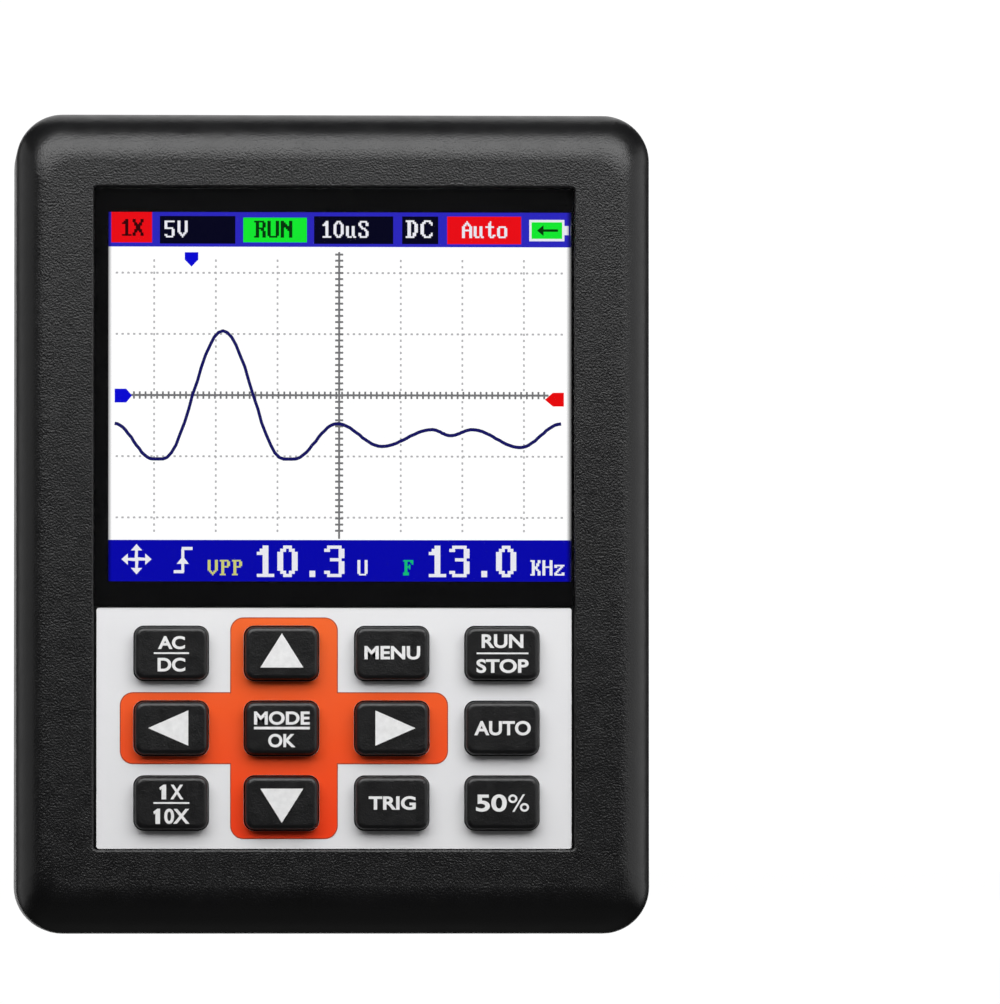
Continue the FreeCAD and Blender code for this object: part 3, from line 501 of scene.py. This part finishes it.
def dots(left, right, top, bottom):
    """A rectangle on the display, in dots counted from its top left corner, in millimetres."""
    start = VIEW_SHIFT - VIEW_WIDTH / 2
    ceiling = VIEW_UP + VIEW_HEIGHT / 2
    return (start + left * DOT_WIDE, start + right * DOT_WIDE,
            ceiling - bottom * DOT_HIGH, ceiling - top * DOT_HIGH)


def dot_point(across, down):
    left, _, _, top = dots(across, across, down, down)
    return left, top


def letters(text, left, top, wide=1.0, high=1.0, pitch=8.0):
    """The rectangles of a line of text, each row's neighbouring dots joined into one."""
    found = []
    for place, letter in enumerate(text):
        start = left + place * pitch
        for row, row_dots in enumerate(LETTERS[letter].split()):
            run = 0
            for column, dot in enumerate(row_dots + "."):
                if dot == "#":
                    run += 1
                elif run:
                    found.append(dots(start + (column - run) * wide, start + column * wide,
                                      top + row * high, top + (row + 1) * high))
                    run = 0
    return found


def picture_level(layer):
    return span("lcd_glass")[5] + layer * PICTURE_LAYER


def picture_boxes(name, rectangles, layer, material):
    return boxes(name, rectangles, picture_level(layer), picture_level(layer + LAYER_FILLED), material)


def picture_shapes(name, shapes, layer, material):
    loops = [[dot_point(*point) for point in shape] for shape in shapes]
    return prism(name, loops, picture_level(layer), picture_level(layer + LAYER_FILLED), material)


PLOT_TOP = 24
PLOT_BOTTOM = 215
BAR_TOP = 1.4
BAR_BOTTOM = 242.2
GRID_LEFT = 5.3
GRID_RIGHT = 315.0
GRID_TOP = 32.3
GRID_BOTTOM = 211.2
GRID_PITCH_ACROSS = 42.67
GRID_PITCH_DOWN = 39.85
AXIS_ACROSS = 159.9
AXIS_DOWN = 120.7
GRID_STEP = 4.0
GRID_DASH_ACROSS = 1.6
GRID_DASH_DOWN = 1.5
GRID_HALF_LINE = 0.6
AXIS_HALF_LINE = 0.7
TICK_THICK = 1.3
TICK_HALF_ACROSS = 2.8
TICK_HALF_DOWN = 2.4


def steps(start, end, pitch):
    return [start + index * pitch for index in range(int((end - start) / pitch) + 1)]


def status_bars():
    """The blue bars above and below the plot, and the boxes in the upper one."""
    blue = lit("screen_blue", srgb(44, 40, 192))
    deep = lit("screen_deep_blue", srgb(6, 6, 172))
    navy = lit("screen_navy", srgb(4, 4, 30))
    red = lit("screen_red", srgb(238, 12, 22))
    green = lit("screen_green", srgb(20, 236, 50))
    picture_boxes("picture_top_bar", [dots(0, DOTS_ACROSS, BAR_TOP, PLOT_TOP)], 1, blue)
    picture_boxes("picture_bottom_bar", [dots(0, DOTS_ACROSS, PLOT_BOTTOM, BAR_BOTTOM)], 1, deep)
    picture_boxes("picture_navy_boxes", [
        dots(35.8, 88.0, 4, 22), dots(142.5, 197.3, 4, 22), dots(203.5, 228.5, 4, 22)], 2, navy)
    picture_boxes("picture_red_boxes", [
        dots(2.2, 30.4, BAR_TOP, 21.3), dots(234.7, 286, 4, 22)], 2, red)
    picture_boxes("picture_green_boxes", [dots(93.5, 137.5, 5, 21)], 2, green)
    return red, green


def status_text(red, green):
    """The words and numbers in the bars, with the three icons."""
    white = lit("screen_white_text", srgb(238, 238, 246))
    dark = lit("screen_dark_text", srgb(52, 4, 8))
    dark_green = lit("screen_dark_green", srgb(4, 54, 12))
    yellow = lit("screen_yellow", srgb(206, 206, 120))
    picture_boxes("picture_white_text", (
        letters("5V", 39, 7, 1.0, 1.1, 9) + letters("10uS", 147.4, 7, 1.0, 1.1, 8.6)
        + letters("DC", 206, 6.5, 1.2, 1.15, 10.2) + letters("Auto", 245, 7, 1.0, 1.1, 8.1)
        + letters("U", 172.6, 228, 1.0, 1.0) + letters("KHz", 292.4, 228, 1.0, 1.0, 8.3)
        + letters("10.3", 101, 218.6, 2.0, 2.05, 16.2)
        + letters("13.0", 220, 218.6, 2.0, 2.05, 16.2)), 3, white)
    picture_boxes("picture_probe_text", letters("1X", 8.5, 6, 1.1, 1.1, 8.4), 3, dark)
    picture_boxes("picture_run_text", letters("RUN", 101, 7, 1.15, 1.1, 9.2), 3, dark_green)
    picture_boxes("picture_yellow_text", letters("VPP", 69, 228, 1.0, 1.0, 8.4), 3, yellow)
    picture_boxes("picture_green_text", letters("F", 204.2, 228, 1.0, 1.0),
                  3, lit("screen_teal", srgb(20, 190, 120)))
    battery_icon(white, green, dark_green)
    move_icon(white)
    edge_icon(white)


def battery_icon(white, green, dark):
    picture_boxes("picture_battery_rim", [dots(291.6, 316, 6, 20), dots(316, 319, 10, 16)],
                  2, white)
    picture_boxes("picture_battery_fill", [dots(293.2, 314.4, 7.6, 18.4)], 3, green)
    picture_shapes("picture_battery_arrow", [
        [(297, 13), (301.5, 9.5), (301.5, 12.2), (311.5, 12.2), (311.5, 13.8),
         (301.5, 13.8), (301.5, 16.5)]], 4, dark)


MOVE_ACROSS = 19.8
MOVE_DOWN = 227.6
MOVE_FLAT = 0.95


def move_icon(white):
    """Four arrows that point away from each other, drawn a little flat."""
    quarter = [(1.3, 0.9), (6.0, 0.9), (6.0, 3.9), (10.4, 0.0), (6.0, -3.9), (6.0, -0.9)]
    points = []
    for turn in range(4):
        cosine, sine = round(math.cos(turn * math.pi / 2)), round(math.sin(turn * math.pi / 2))
        points += [(MOVE_ACROSS + x * cosine + y * sine,
                    MOVE_DOWN - x * sine * MOVE_FLAT + y * cosine * MOVE_FLAT)
                   for x, y in quarter]
    picture_shapes("picture_move_icon", [points], 3, white)


def edge_icon(white):
    """A rising edge with its arrow."""
    picture_boxes("picture_edge_icon", [
        dots(45.5, 52.5, 234.7, 236.7), dots(50.8, 52.8, 221, 236), dots(51, 58.5, 219.6, 221.6)],
        3, white)
    picture_shapes("picture_edge_arrow", [[(47.6, 230.6), (51.8, 225.6), (56.0, 230.6)]],
                   4, white)


def plot():
    """The white plot with its dotted grid, ticked axes and three markers."""
    paper = lit("screen_paper", srgb(254, 254, 254), 1.12)
    grey = lit("screen_grid", srgb(176, 176, 178))
    dark = lit("screen_axis", srgb(118, 118, 120))
    picture_boxes("picture_paper", [dots(0, DOTS_ACROSS, PLOT_TOP, PLOT_BOTTOM)], 1, paper)
    grid = []
    for line in (-3, -2, -1, 1, 2, 3):
        across = AXIS_ACROSS + line * GRID_PITCH_ACROSS
        grid += [dots(across - GRID_HALF_LINE, across + GRID_HALF_LINE, down, down + GRID_DASH_DOWN)
                 for down in steps(GRID_TOP, GRID_BOTTOM, GRID_STEP)]
    for line in (-2, -1, 1, 2):
        down = AXIS_DOWN + line * GRID_PITCH_DOWN
        grid += [dots(across, across + GRID_DASH_ACROSS, down - GRID_HALF_LINE, down + GRID_HALF_LINE)
                 for across in steps(GRID_LEFT, GRID_RIGHT, GRID_STEP)]
    picture_boxes("picture_grid", grid, 2, grey)
    axes = [dots(AXIS_ACROSS - AXIS_HALF_LINE, AXIS_ACROSS + AXIS_HALF_LINE,
                 GRID_TOP - 5, GRID_BOTTOM + 3),
            dots(GRID_LEFT + 10, GRID_RIGHT - 10,
                 AXIS_DOWN - AXIS_HALF_LINE, AXIS_DOWN + AXIS_HALF_LINE)]
    axes += [dots(AXIS_ACROSS - TICK_HALF_ACROSS, AXIS_ACROSS + TICK_HALF_ACROSS,
                  down, down + TICK_THICK)
             for down in steps(GRID_TOP - 4, GRID_BOTTOM, GRID_STEP)]
    axes += [dots(across, across + TICK_THICK,
                  AXIS_DOWN - TICK_HALF_DOWN, AXIS_DOWN + TICK_HALF_DOWN)
             for across in steps(GRID_LEFT + 12, GRID_RIGHT - 12, GRID_STEP)]
    picture_boxes("picture_axes", axes, 3, dark)
    blue = lit("screen_marker_blue", srgb(8, 8, 214))
    red = lit("screen_marker_red", srgb(236, 8, 12))
    picture_shapes("picture_blue_markers", [
        [(53.0, 27.6), (62.4, 27.6), (62.4, 32.4), (57.7, 37.0), (53.0, 32.4)],
        [(4.6, 116.6), (12.6, 116.6), (16.6, 121.0), (12.6, 125.6), (4.6, 125.6)]], 5, blue)
    picture_shapes("picture_red_marker", [
        [(315.6, 118.8), (315.6, 127.8), (308.0, 127.8), (302.4, 123.4), (308.0, 118.8)]], 5, red)


WAVE_TURNS = ((4.6, 139.2), (31.0, 162.3), (38.0, 162.3), (79.4, 78.8), (121.5, 162.3),
              (128.5, 162.3), (158.5, 139.2), (189.4, 154.0), (224.3, 143.0), (237.0, 146.9),
              (252.0, 143.0), (285.3, 154.6), (313.7, 139.2))
WAVE_WIDTH = 2.2
WAVE_STEPS = 14
WAVE_NOISE = 0.3
WAVE_NOISE_RATE = 2.3


def wave():
    """The trace: smooth swings from each turning point to the next."""
    line = []
    for (start, high), (end, low) in zip(WAVE_TURNS, WAVE_TURNS[1:]):
        for step in range(WAVE_STEPS):
            share = step / WAVE_STEPS
            swing = (1 - math.cos(math.pi * share)) / 2
            noise = (WAVE_NOISE * math.sin(WAVE_NOISE_RATE * len(line))
                     * math.sin(math.pi * share))
            line.append((start + (end - start) * share + noise, high + (low - high) * swing))
    line.append(WAVE_TURNS[-1])
    upper, lower = [], []
    for index, point in enumerate(line):
        before, after = line[max(index - 1, 0)], line[min(index + 1, len(line) - 1)]
        across, down = after[0] - before[0], after[1] - before[1]
        length = math.hypot(across, down)
        offset = (-down / length * WAVE_WIDTH / 2, across / length * WAVE_WIDTH / 2)
        upper.append((point[0] + offset[0], point[1] + offset[1]))
        lower.append((point[0] - offset[0], point[1] - offset[1]))
    picture_shapes("picture_trace", [upper + lower[::-1]], 4,
                   lit("screen_trace", srgb(22, 22, 96)))


def display_picture():
    red, green = status_bars()
    status_text(red, green)
    plot()
    wave()


# ---- Window border and keypad print ----

BORDER_INSET = 0.01
BORDER_CORNER = 0.24
OPENING_CORNER = 0.1
BORDER_BACK = 0.1
BORDER_FRONT = 0.8


def window_border():
    """The black print on the back of the window, around the part that shows the picture."""
    left, right, bottom, top, back, _ = span("display_lens")
    outer = rounded_box(left + BORDER_INSET, right - BORDER_INSET, bottom + BORDER_INSET,
                        top - BORDER_INSET, BORDER_CORNER)
    inner = rounded_box(*dots(0, DOTS_ACROSS, BAR_TOP, BAR_BOTTOM), OPENING_CORNER)
    prism("window_border", [outer, inner], back + BORDER_BACK * INK, back + BORDER_FRONT * INK,
          border_ink())


CROSS_CORNER = 1.35
CROSS_MARGIN_SIDE = 1.78
CROSS_MARGIN_END = 0.98
CROSS_SHIFT = 0.26
CROSS_LINE = 0.1
HOLE_GAP = 0.16


def key_hole(name):
    """The outline of the print's opening round a key."""
    x, z = middle("key_" + name)
    half_wide, half_high = (half + HOLE_GAP for half in cap_half(name))
    return rounded_box(x - half_wide, x + half_wide, z - half_high, z + half_high,
                       KEY_CORNER + HOLE_GAP)


def cross_outline(inset):
    """A cross round the arrow keys, printed a little to the right of them, its four ends
    rounded and its inner corners sharp."""
    centre_x, centre_z = middle("key_mode_ok")
    half_wide, half_high = cap_half("mode_ok")
    bar_x = half_wide + CROSS_MARGIN_SIDE - inset
    bar_z = half_high + CROSS_MARGIN_END - inset
    corner = CROSS_CORNER - inset
    reach_x = middle("key_right")[0] - centre_x + bar_x
    reach_z = middle("key_up")[1] - centre_z + bar_z
    centre_x += CROSS_SHIFT
    points = []
    for turn in range(4):
        reach, bar, start = (reach_x, bar_z, bar_x) if turn % 2 == 0 else (reach_z, bar_x, bar_z)
        arm = [(start, -bar)]
        for sign in (-1, 1):
            for step in range(ARC_STEPS + 1):
                angle = math.radians(90 * step / ARC_STEPS - (90 if sign < 0 else 0))
                arm.append((reach - corner + corner * math.cos(angle),
                            sign * (bar - corner) + corner * math.sin(angle)))
        cosine, sine = round(math.cos(turn * math.pi / 2)), round(math.sin(turn * math.pi / 2))
        points += [(centre_x + x * cosine - z * sine, centre_z + x * sine + z * cosine)
                   for x, z in arm]
    return points


def keypad_print():
    """The orange cross with an opening for each of its keys, and the thin line round it."""
    front = span("keypad_overlay")[5]
    holes = [key_hole(name) for name in ("up", "left", "mode_ok", "right", "down")]
    inside = cross_outline(CROSS_LINE)
    prism("keypad_cross", [inside] + holes, front, front + INK, orange_ink())
    prism("keypad_cross_line", [cross_outline(0.0), inside], front, front + INK, line_ink())


# ---- Key legends ----

# Each line: its key, its words, its width and height, and how far it is above the key's middle.
LEGENDS = (
    ("ac_dc", "AC", 2.76, 1.34, 1.07), ("ac_dc", "DC", 2.83, 1.42, -1.18),
    ("menu", "MENU", 5.7, 1.38, 0.05),
    ("run_stop", "RUN", 4.27, 1.42, 1.24), ("run_stop", "STOP", 5.33, 1.42, -1.3),
    ("mode_ok", "MODE", 5.7, 1.38, 1.02), ("mode_ok", "OK", 2.8, 1.38, -1.28),
    ("auto", "AUTO", 5.78, 1.48, 0.0),
    ("1x_10x", "1X", 2.46, 1.5, 1.12), ("1x_10x", "10X", 3.7, 1.56, -1.36),
    ("trig", "TRIG", 4.82, 1.4, 0.0), ("50_percent", "50%", 5.43, 1.77, 0.0),
)
RULES = (("ac_dc", 3.6, 0.17), ("run_stop", 5.3, 0.17), ("mode_ok", 5.7, 0.27),
         ("1x_10x", 3.65, 0.17))
BOLDER = 0.042
ONE_FLAG = ((0.32, 0.0), (1.0, 0.0), (1.0, 1.0), (0.6, 1.0), (0.0, 0.8), (0.12, 0.62), (0.32, 0.7))
ONE_WIDTH = 0.7
ONE_GAP = 0.42
PERCENT_WIDTH = 2.13
PERCENT_GAP = 0.15
PERCENT_STROKE = 0.22
PERCENT_RING_WIDE = 0.22
PERCENT_RING_HIGH = 0.25
PERCENT_SLANT = 0.2
OVAL_STEPS = 24
ARROW_TALL = (3.5, 2.2)
ARROW_WIDE = (4.1, 1.8)
ARROW_BACK = -0.42
ARROW_TIP = 0.58


def legend_words(name, words, left, right, bottom, top, ink):
    """Words on a key's top, stretched to fill a place."""
    front = span("key_" + name)[5]
    text = bpy.data.curves.new(name, "FONT")
    text.body = words
    text.size = (top - bottom) * MM
    text.offset = BOLDER * MM
    text.extrude = INK / 2 * MM
    label = f"legend_{name}_{words.lower()}"
    piece = stand_up(text, label, front + INK / 2, ink, "button_" + name)
    corners = [vertex.co for vertex in piece.data.vertices]
    low = Vector((min(co.x for co in corners), 0.0, min(co.z for co in corners)))
    high = Vector((max(co.x for co in corners), 0.0, max(co.z for co in corners)))
    wide, tall = (right - left) * MM / (high.x - low.x), (top - bottom) * MM / (high.z - low.z)
    piece.data.transform(Matrix.Translation((left * MM, 0.0, bottom * MM))
                         @ Matrix.Diagonal((wide, 1.0, tall, 1.0)) @ Matrix.Translation(-low))


def legend_shape(name, kind, loops, ink):
    """A print on a key's top, from its outlines."""
    front = span("key_" + name)[5]
    prism(f"legend_{name}_{kind}", loops, front, front + INK, ink, "button_" + name)


def oval(x, z, half_wide, half_high):
    """The outline of an oval, anticlockwise."""
    turns = [math.radians(360 * step / OVAL_STEPS) for step in range(OVAL_STEPS)]
    return [(x + half_wide * math.cos(turn), z + half_high * math.sin(turn)) for turn in turns]


def percent_sign(left, right, bottom, top):
    """Two rings and a stroke between them."""
    wide, tall = right - left, top - bottom
    half_wide, half_high = PERCENT_RING_WIDE * wide, PERCENT_RING_HIGH * tall
    loops = []
    for x, z in ((left + half_wide, top - half_high), (right - half_wide, bottom + half_high)):
        loops += [oval(x, z, half_wide, half_high),
                  oval(x, z, half_wide - PERCENT_STROKE, half_high - PERCENT_STROKE)]
    foot, head = left + PERCENT_SLANT * wide, right - PERCENT_SLANT * wide
    loops.append([(foot, bottom), (foot + PERCENT_STROKE, bottom), (head, top),
                  (head - PERCENT_STROKE, top)])
    return loops


def legend_line(name, words, width, height, up, ink):
    """One line of print. A figure one at its start is drawn with a flag and no foot, and a
    percent sign at its end has shapes of its own."""
    x, z = middle("key_" + name)
    left, right = x - width / 2, x + width / 2
    bottom, top = z + up - height / 2, z + up + height / 2
    if words.startswith("1"):
        legend_shape(name, f"one_{words.lower()}", [[
            (left + across * ONE_WIDTH, bottom + rise * height) for across, rise in ONE_FLAG]], ink)
        left += ONE_WIDTH + ONE_GAP
        words = words[1:]
    if words.endswith("%"):
        legend_shape(name, "sign", percent_sign(right - PERCENT_WIDTH, right, bottom, top), ink)
        right -= PERCENT_WIDTH + PERCENT_GAP
        words = words[:-1]
    legend_words(name, words, left, right, bottom, top, ink)


def key_legends():
    ink = legend_ink()
    for name, words, width, height, up in LEGENDS:
        legend_line(name, words, width, height, up, ink)
    for name, width, thickness in RULES:
        x, z = middle("key_" + name)
        legend_shape(name, "rule", [rectangle(x, z, width, thickness)], ink)
    for name, tip, side in (("up", (0.0, 1.0), (1.0, 0.0)), ("down", (0.0, -1.0), (-1.0, 0.0)),
                            ("right", (1.0, 0.0), (0.0, -1.0)), ("left", (-1.0, 0.0), (0.0, 1.0))):
        legend_shape(name, "arrow", [arrow(*middle("key_" + name), tip, side)], ink)


def rectangle(x, z, width, height):
    return [(x - width / 2, z - height / 2), (x + width / 2, z - height / 2),
            (x + width / 2, z + height / 2), (x - width / 2, z + height / 2)]


def arrow(x, z, tip, side):
    """A triangle, of a length and half a base, that points towards its tip."""
    length, half_base = ARROW_TALL if tip[0] == 0.0 else ARROW_WIDE
    return [(x + along * length * tip[0] + across * half_base * side[0],
             z + along * length * tip[1] + across * half_base * side[1])
            for along, across in ((ARROW_BACK, -1.0), (ARROW_BACK, 1.0), (ARROW_TIP, 0.0))]


# ---- Materials of the CAD nodes ----

def dress(material, *names):
    for name in names:
        mesh = frame["nodes"][name].data
        mesh.materials.clear()
        mesh.materials.append(material)


def dress_nodes():
    black = moulded("black_plastic", srgb(30, 30, 31), srgb(36, 36, 37), 0.45)
    white = moulded("white_plastic", srgb(214, 210, 196), srgb(200, 196, 184), 0.5)
    steel = metal("steel", srgb(186, 186, 184), srgb(168, 168, 166), 0.28)
    dress(case_plastic(), "front_shell", "rear_shell")
    dress(window_acrylic(), "display_lens")
    dress(white_film(), "keypad_overlay")
    dress(key_plastic(), *("key_" + name for name in KEYS))
    dress(white, *("plunger_" + name for name in KEYS))
    dress(white, "battery_plug", "battery_header", "coupling_relay", "trimmer_base")
    dress(black, "switch_bodies", "input_jack_body", "power_switch_knob", "usb_socket_tongue",
          "processor_chip", "converter_chip", "small_chips")
    dress(steel, "lcd_backlight", "power_switch_body", "usb_socket_shell", "crystal",
          "shield_can", "board_screws", "case_screws", "capacitors")
    dress(metal("gold_plate", srgb(222, 180, 96), srgb(206, 164, 84), 0.25),
          "input_jack_contacts", "trimmer_rotor")
    dress(display_cell(), "lcd_glass")
    dress(foam(), "lcd_gasket", "lcd_foam_pads")
    dress(tape(), "lens_tape", "battery_tape")
    dress(moulded("polyimide", srgb(176, 98, 24), srgb(160, 86, 20), 0.3), "lcd_flex")
    dress(solder_mask(), "main_board")
    dress(pouch_foil(), "battery_cell")
    dress(moulded("ferrite", srgb(56, 56, 58), srgb(66, 66, 68), 0.7), "power_inductor")
    dress(moulded("red_sleeve", srgb(190, 22, 20), srgb(176, 18, 18), 0.45),
          "battery_lead_red")
    dress(moulded("black_sleeve", srgb(26, 26, 27), srgb(32, 32, 33), 0.45),
          "battery_lead_black")


# ---- Stage, light and camera ----

DISTANCE = 1.4
VIEW_LEFT = 2.0
VIEW_BELOW = 1.4
EDGE_LEVEL = 0.0066
FRAME_TALL = 0.10303
AIM_RIGHT = 0.01745
AIM_UP = 0.00247
CLIP_NEAR = 0.01
CLIP_FAR = 50.0
FLOOR_SIZE = 12.0
WHITE_SKY = 1.05
FLOOR_GLOW = 0.11
ROOM_GLOW = 0.02
FLOOR_SEEN_BELOW = -0.9
ROOM_SEEN_ABOVE = -0.5


def floor():
    """A pale floor that glows evenly, so that it takes almost no shadow. The object doesn't
    mirror it."""
    mesh = bpy.data.meshes.new("floor")
    half = FLOOR_SIZE / 2
    mesh.from_pydata([(-half, -half, 0), (half, -half, 0), (half, half, 0), (-half, half, 0)],
                     [], [(0, 1, 2, 3)])
    finish = Finish("floor_paper", (0.1, 0.1, 0.1, 1.0), 0.8, Specular_IOR_Level=0.0,
                    Emission_Color=(1.0, 1.0, 1.0, 1.0), Emission_Strength=1.0)
    finish.mottle(300.0, (0.09, 0.09, 0.09, 1.0))
    mesh.materials.append(finish.material)
    piece = bpy.data.objects.new("floor", mesh)
    piece.visible_diffuse = False
    piece.visible_glossy = False
    bpy.context.scene.collection.objects.link(piece)


def world():
    """White to the eye. What it lights sees a dark room over a paler floor."""
    sky = bpy.data.worlds.new("studio")
    sky.use_nodes = True
    nodes, links = sky.node_tree.nodes, sky.node_tree.links
    seen = nodes.new("ShaderNodeLightPath")
    share = nodes.new("ShaderNodeMapRange")
    way = nodes.new("ShaderNodeSeparateXYZ")
    links.new(nodes.new("ShaderNodeTexCoord").outputs["Generated"], way.inputs["Vector"])
    glow = nodes.new("ShaderNodeMapRange")
    for socket, value in (("From Min", FLOOR_SEEN_BELOW), ("From Max", ROOM_SEEN_ABOVE),
                          ("To Min", FLOOR_GLOW), ("To Max", ROOM_GLOW)):
        glow.inputs[socket].default_value = value
    links.new(way.outputs["Z"], glow.inputs["Value"])
    links.new(glow.outputs["Result"], share.inputs["To Min"])
    share.inputs["To Max"].default_value = WHITE_SKY
    links.new(seen.outputs["Is Camera Ray"], share.inputs["Value"])
    background = nodes["Background"]
    background.inputs["Color"].default_value = (1.0, 1.0, 1.0, 1.0)
    links.new(share.outputs["Result"], background.inputs["Strength"])
    bpy.context.scene.world = sky


def area_light(name, place, target, size, power):
    light = bpy.data.lights.new(name, "AREA")
    light.shape = "RECTANGLE"
    light.size, light.size_y = size
    light.energy = power
    lamp = bpy.data.objects.new(name, light)
    lamp.location = place
    aim = Vector(target) - Vector(place)
    lamp.rotation_mode = "QUATERNION"
    lamp.rotation_quaternion = aim.to_track_quat("-Z", "Y")
    lamp.visible_camera = False
    bpy.context.scene.collection.objects.link(lamp)


def lights():
    """One large softbox close by, up in front, dim ones at the sides, and a pale wall behind."""
    centre = (0.0, 0.0, 0.042)
    area_light("key_softbox", (0.0, -0.195, 0.24), (0.0, 0.0, 0.113), (0.6, 0.24), 1.95)
    area_light("right_softbox", (0.8, -0.07, 0.05), centre, (1.6, 0.8), 3.3)
    area_light("left_softbox", (-0.76, 0.25, 0.05), centre, (1.1, 0.8), 1.15)
    area_light("back_wall", (0.0, 0.9, 0.4), centre, (0.6, 1.6), 2.7)


def camera():
    """Almost square on to the face, from a little to the left and a little below."""
    centre = (cad_box[0] + cad_box[1]) / 2
    side, drop = math.radians(VIEW_LEFT), math.radians(VIEW_BELOW)
    back = Vector((-math.sin(side) * math.cos(drop), -math.cos(side) * math.cos(drop),
                   -math.sin(drop)))
    data = bpy.data.cameras.new("camera")
    data.lens = data.sensor_width * (DISTANCE - EDGE_LEVEL) / FRAME_TALL
    data.clip_start, data.clip_end = CLIP_NEAR, CLIP_FAR
    view = bpy.data.objects.new("camera", data)
    view.location = centre + back * DISTANCE
    aim = centre + Vector((AIM_RIGHT, 0.0, AIM_UP)) - view.location
    view.rotation_mode = "QUATERNION"
    view.rotation_quaternion = aim.to_track_quat("-Z", "Y")
    bpy.context.scene.collection.objects.link(view)
    bpy.context.scene.camera = view


def stage():
    floor()
    world()
    lights()
    camera()
    bpy.context.scene.view_settings.view_transform = "Standard"


dress_nodes()
display_picture()
window_border()
keypad_print()
key_legends()
stage()
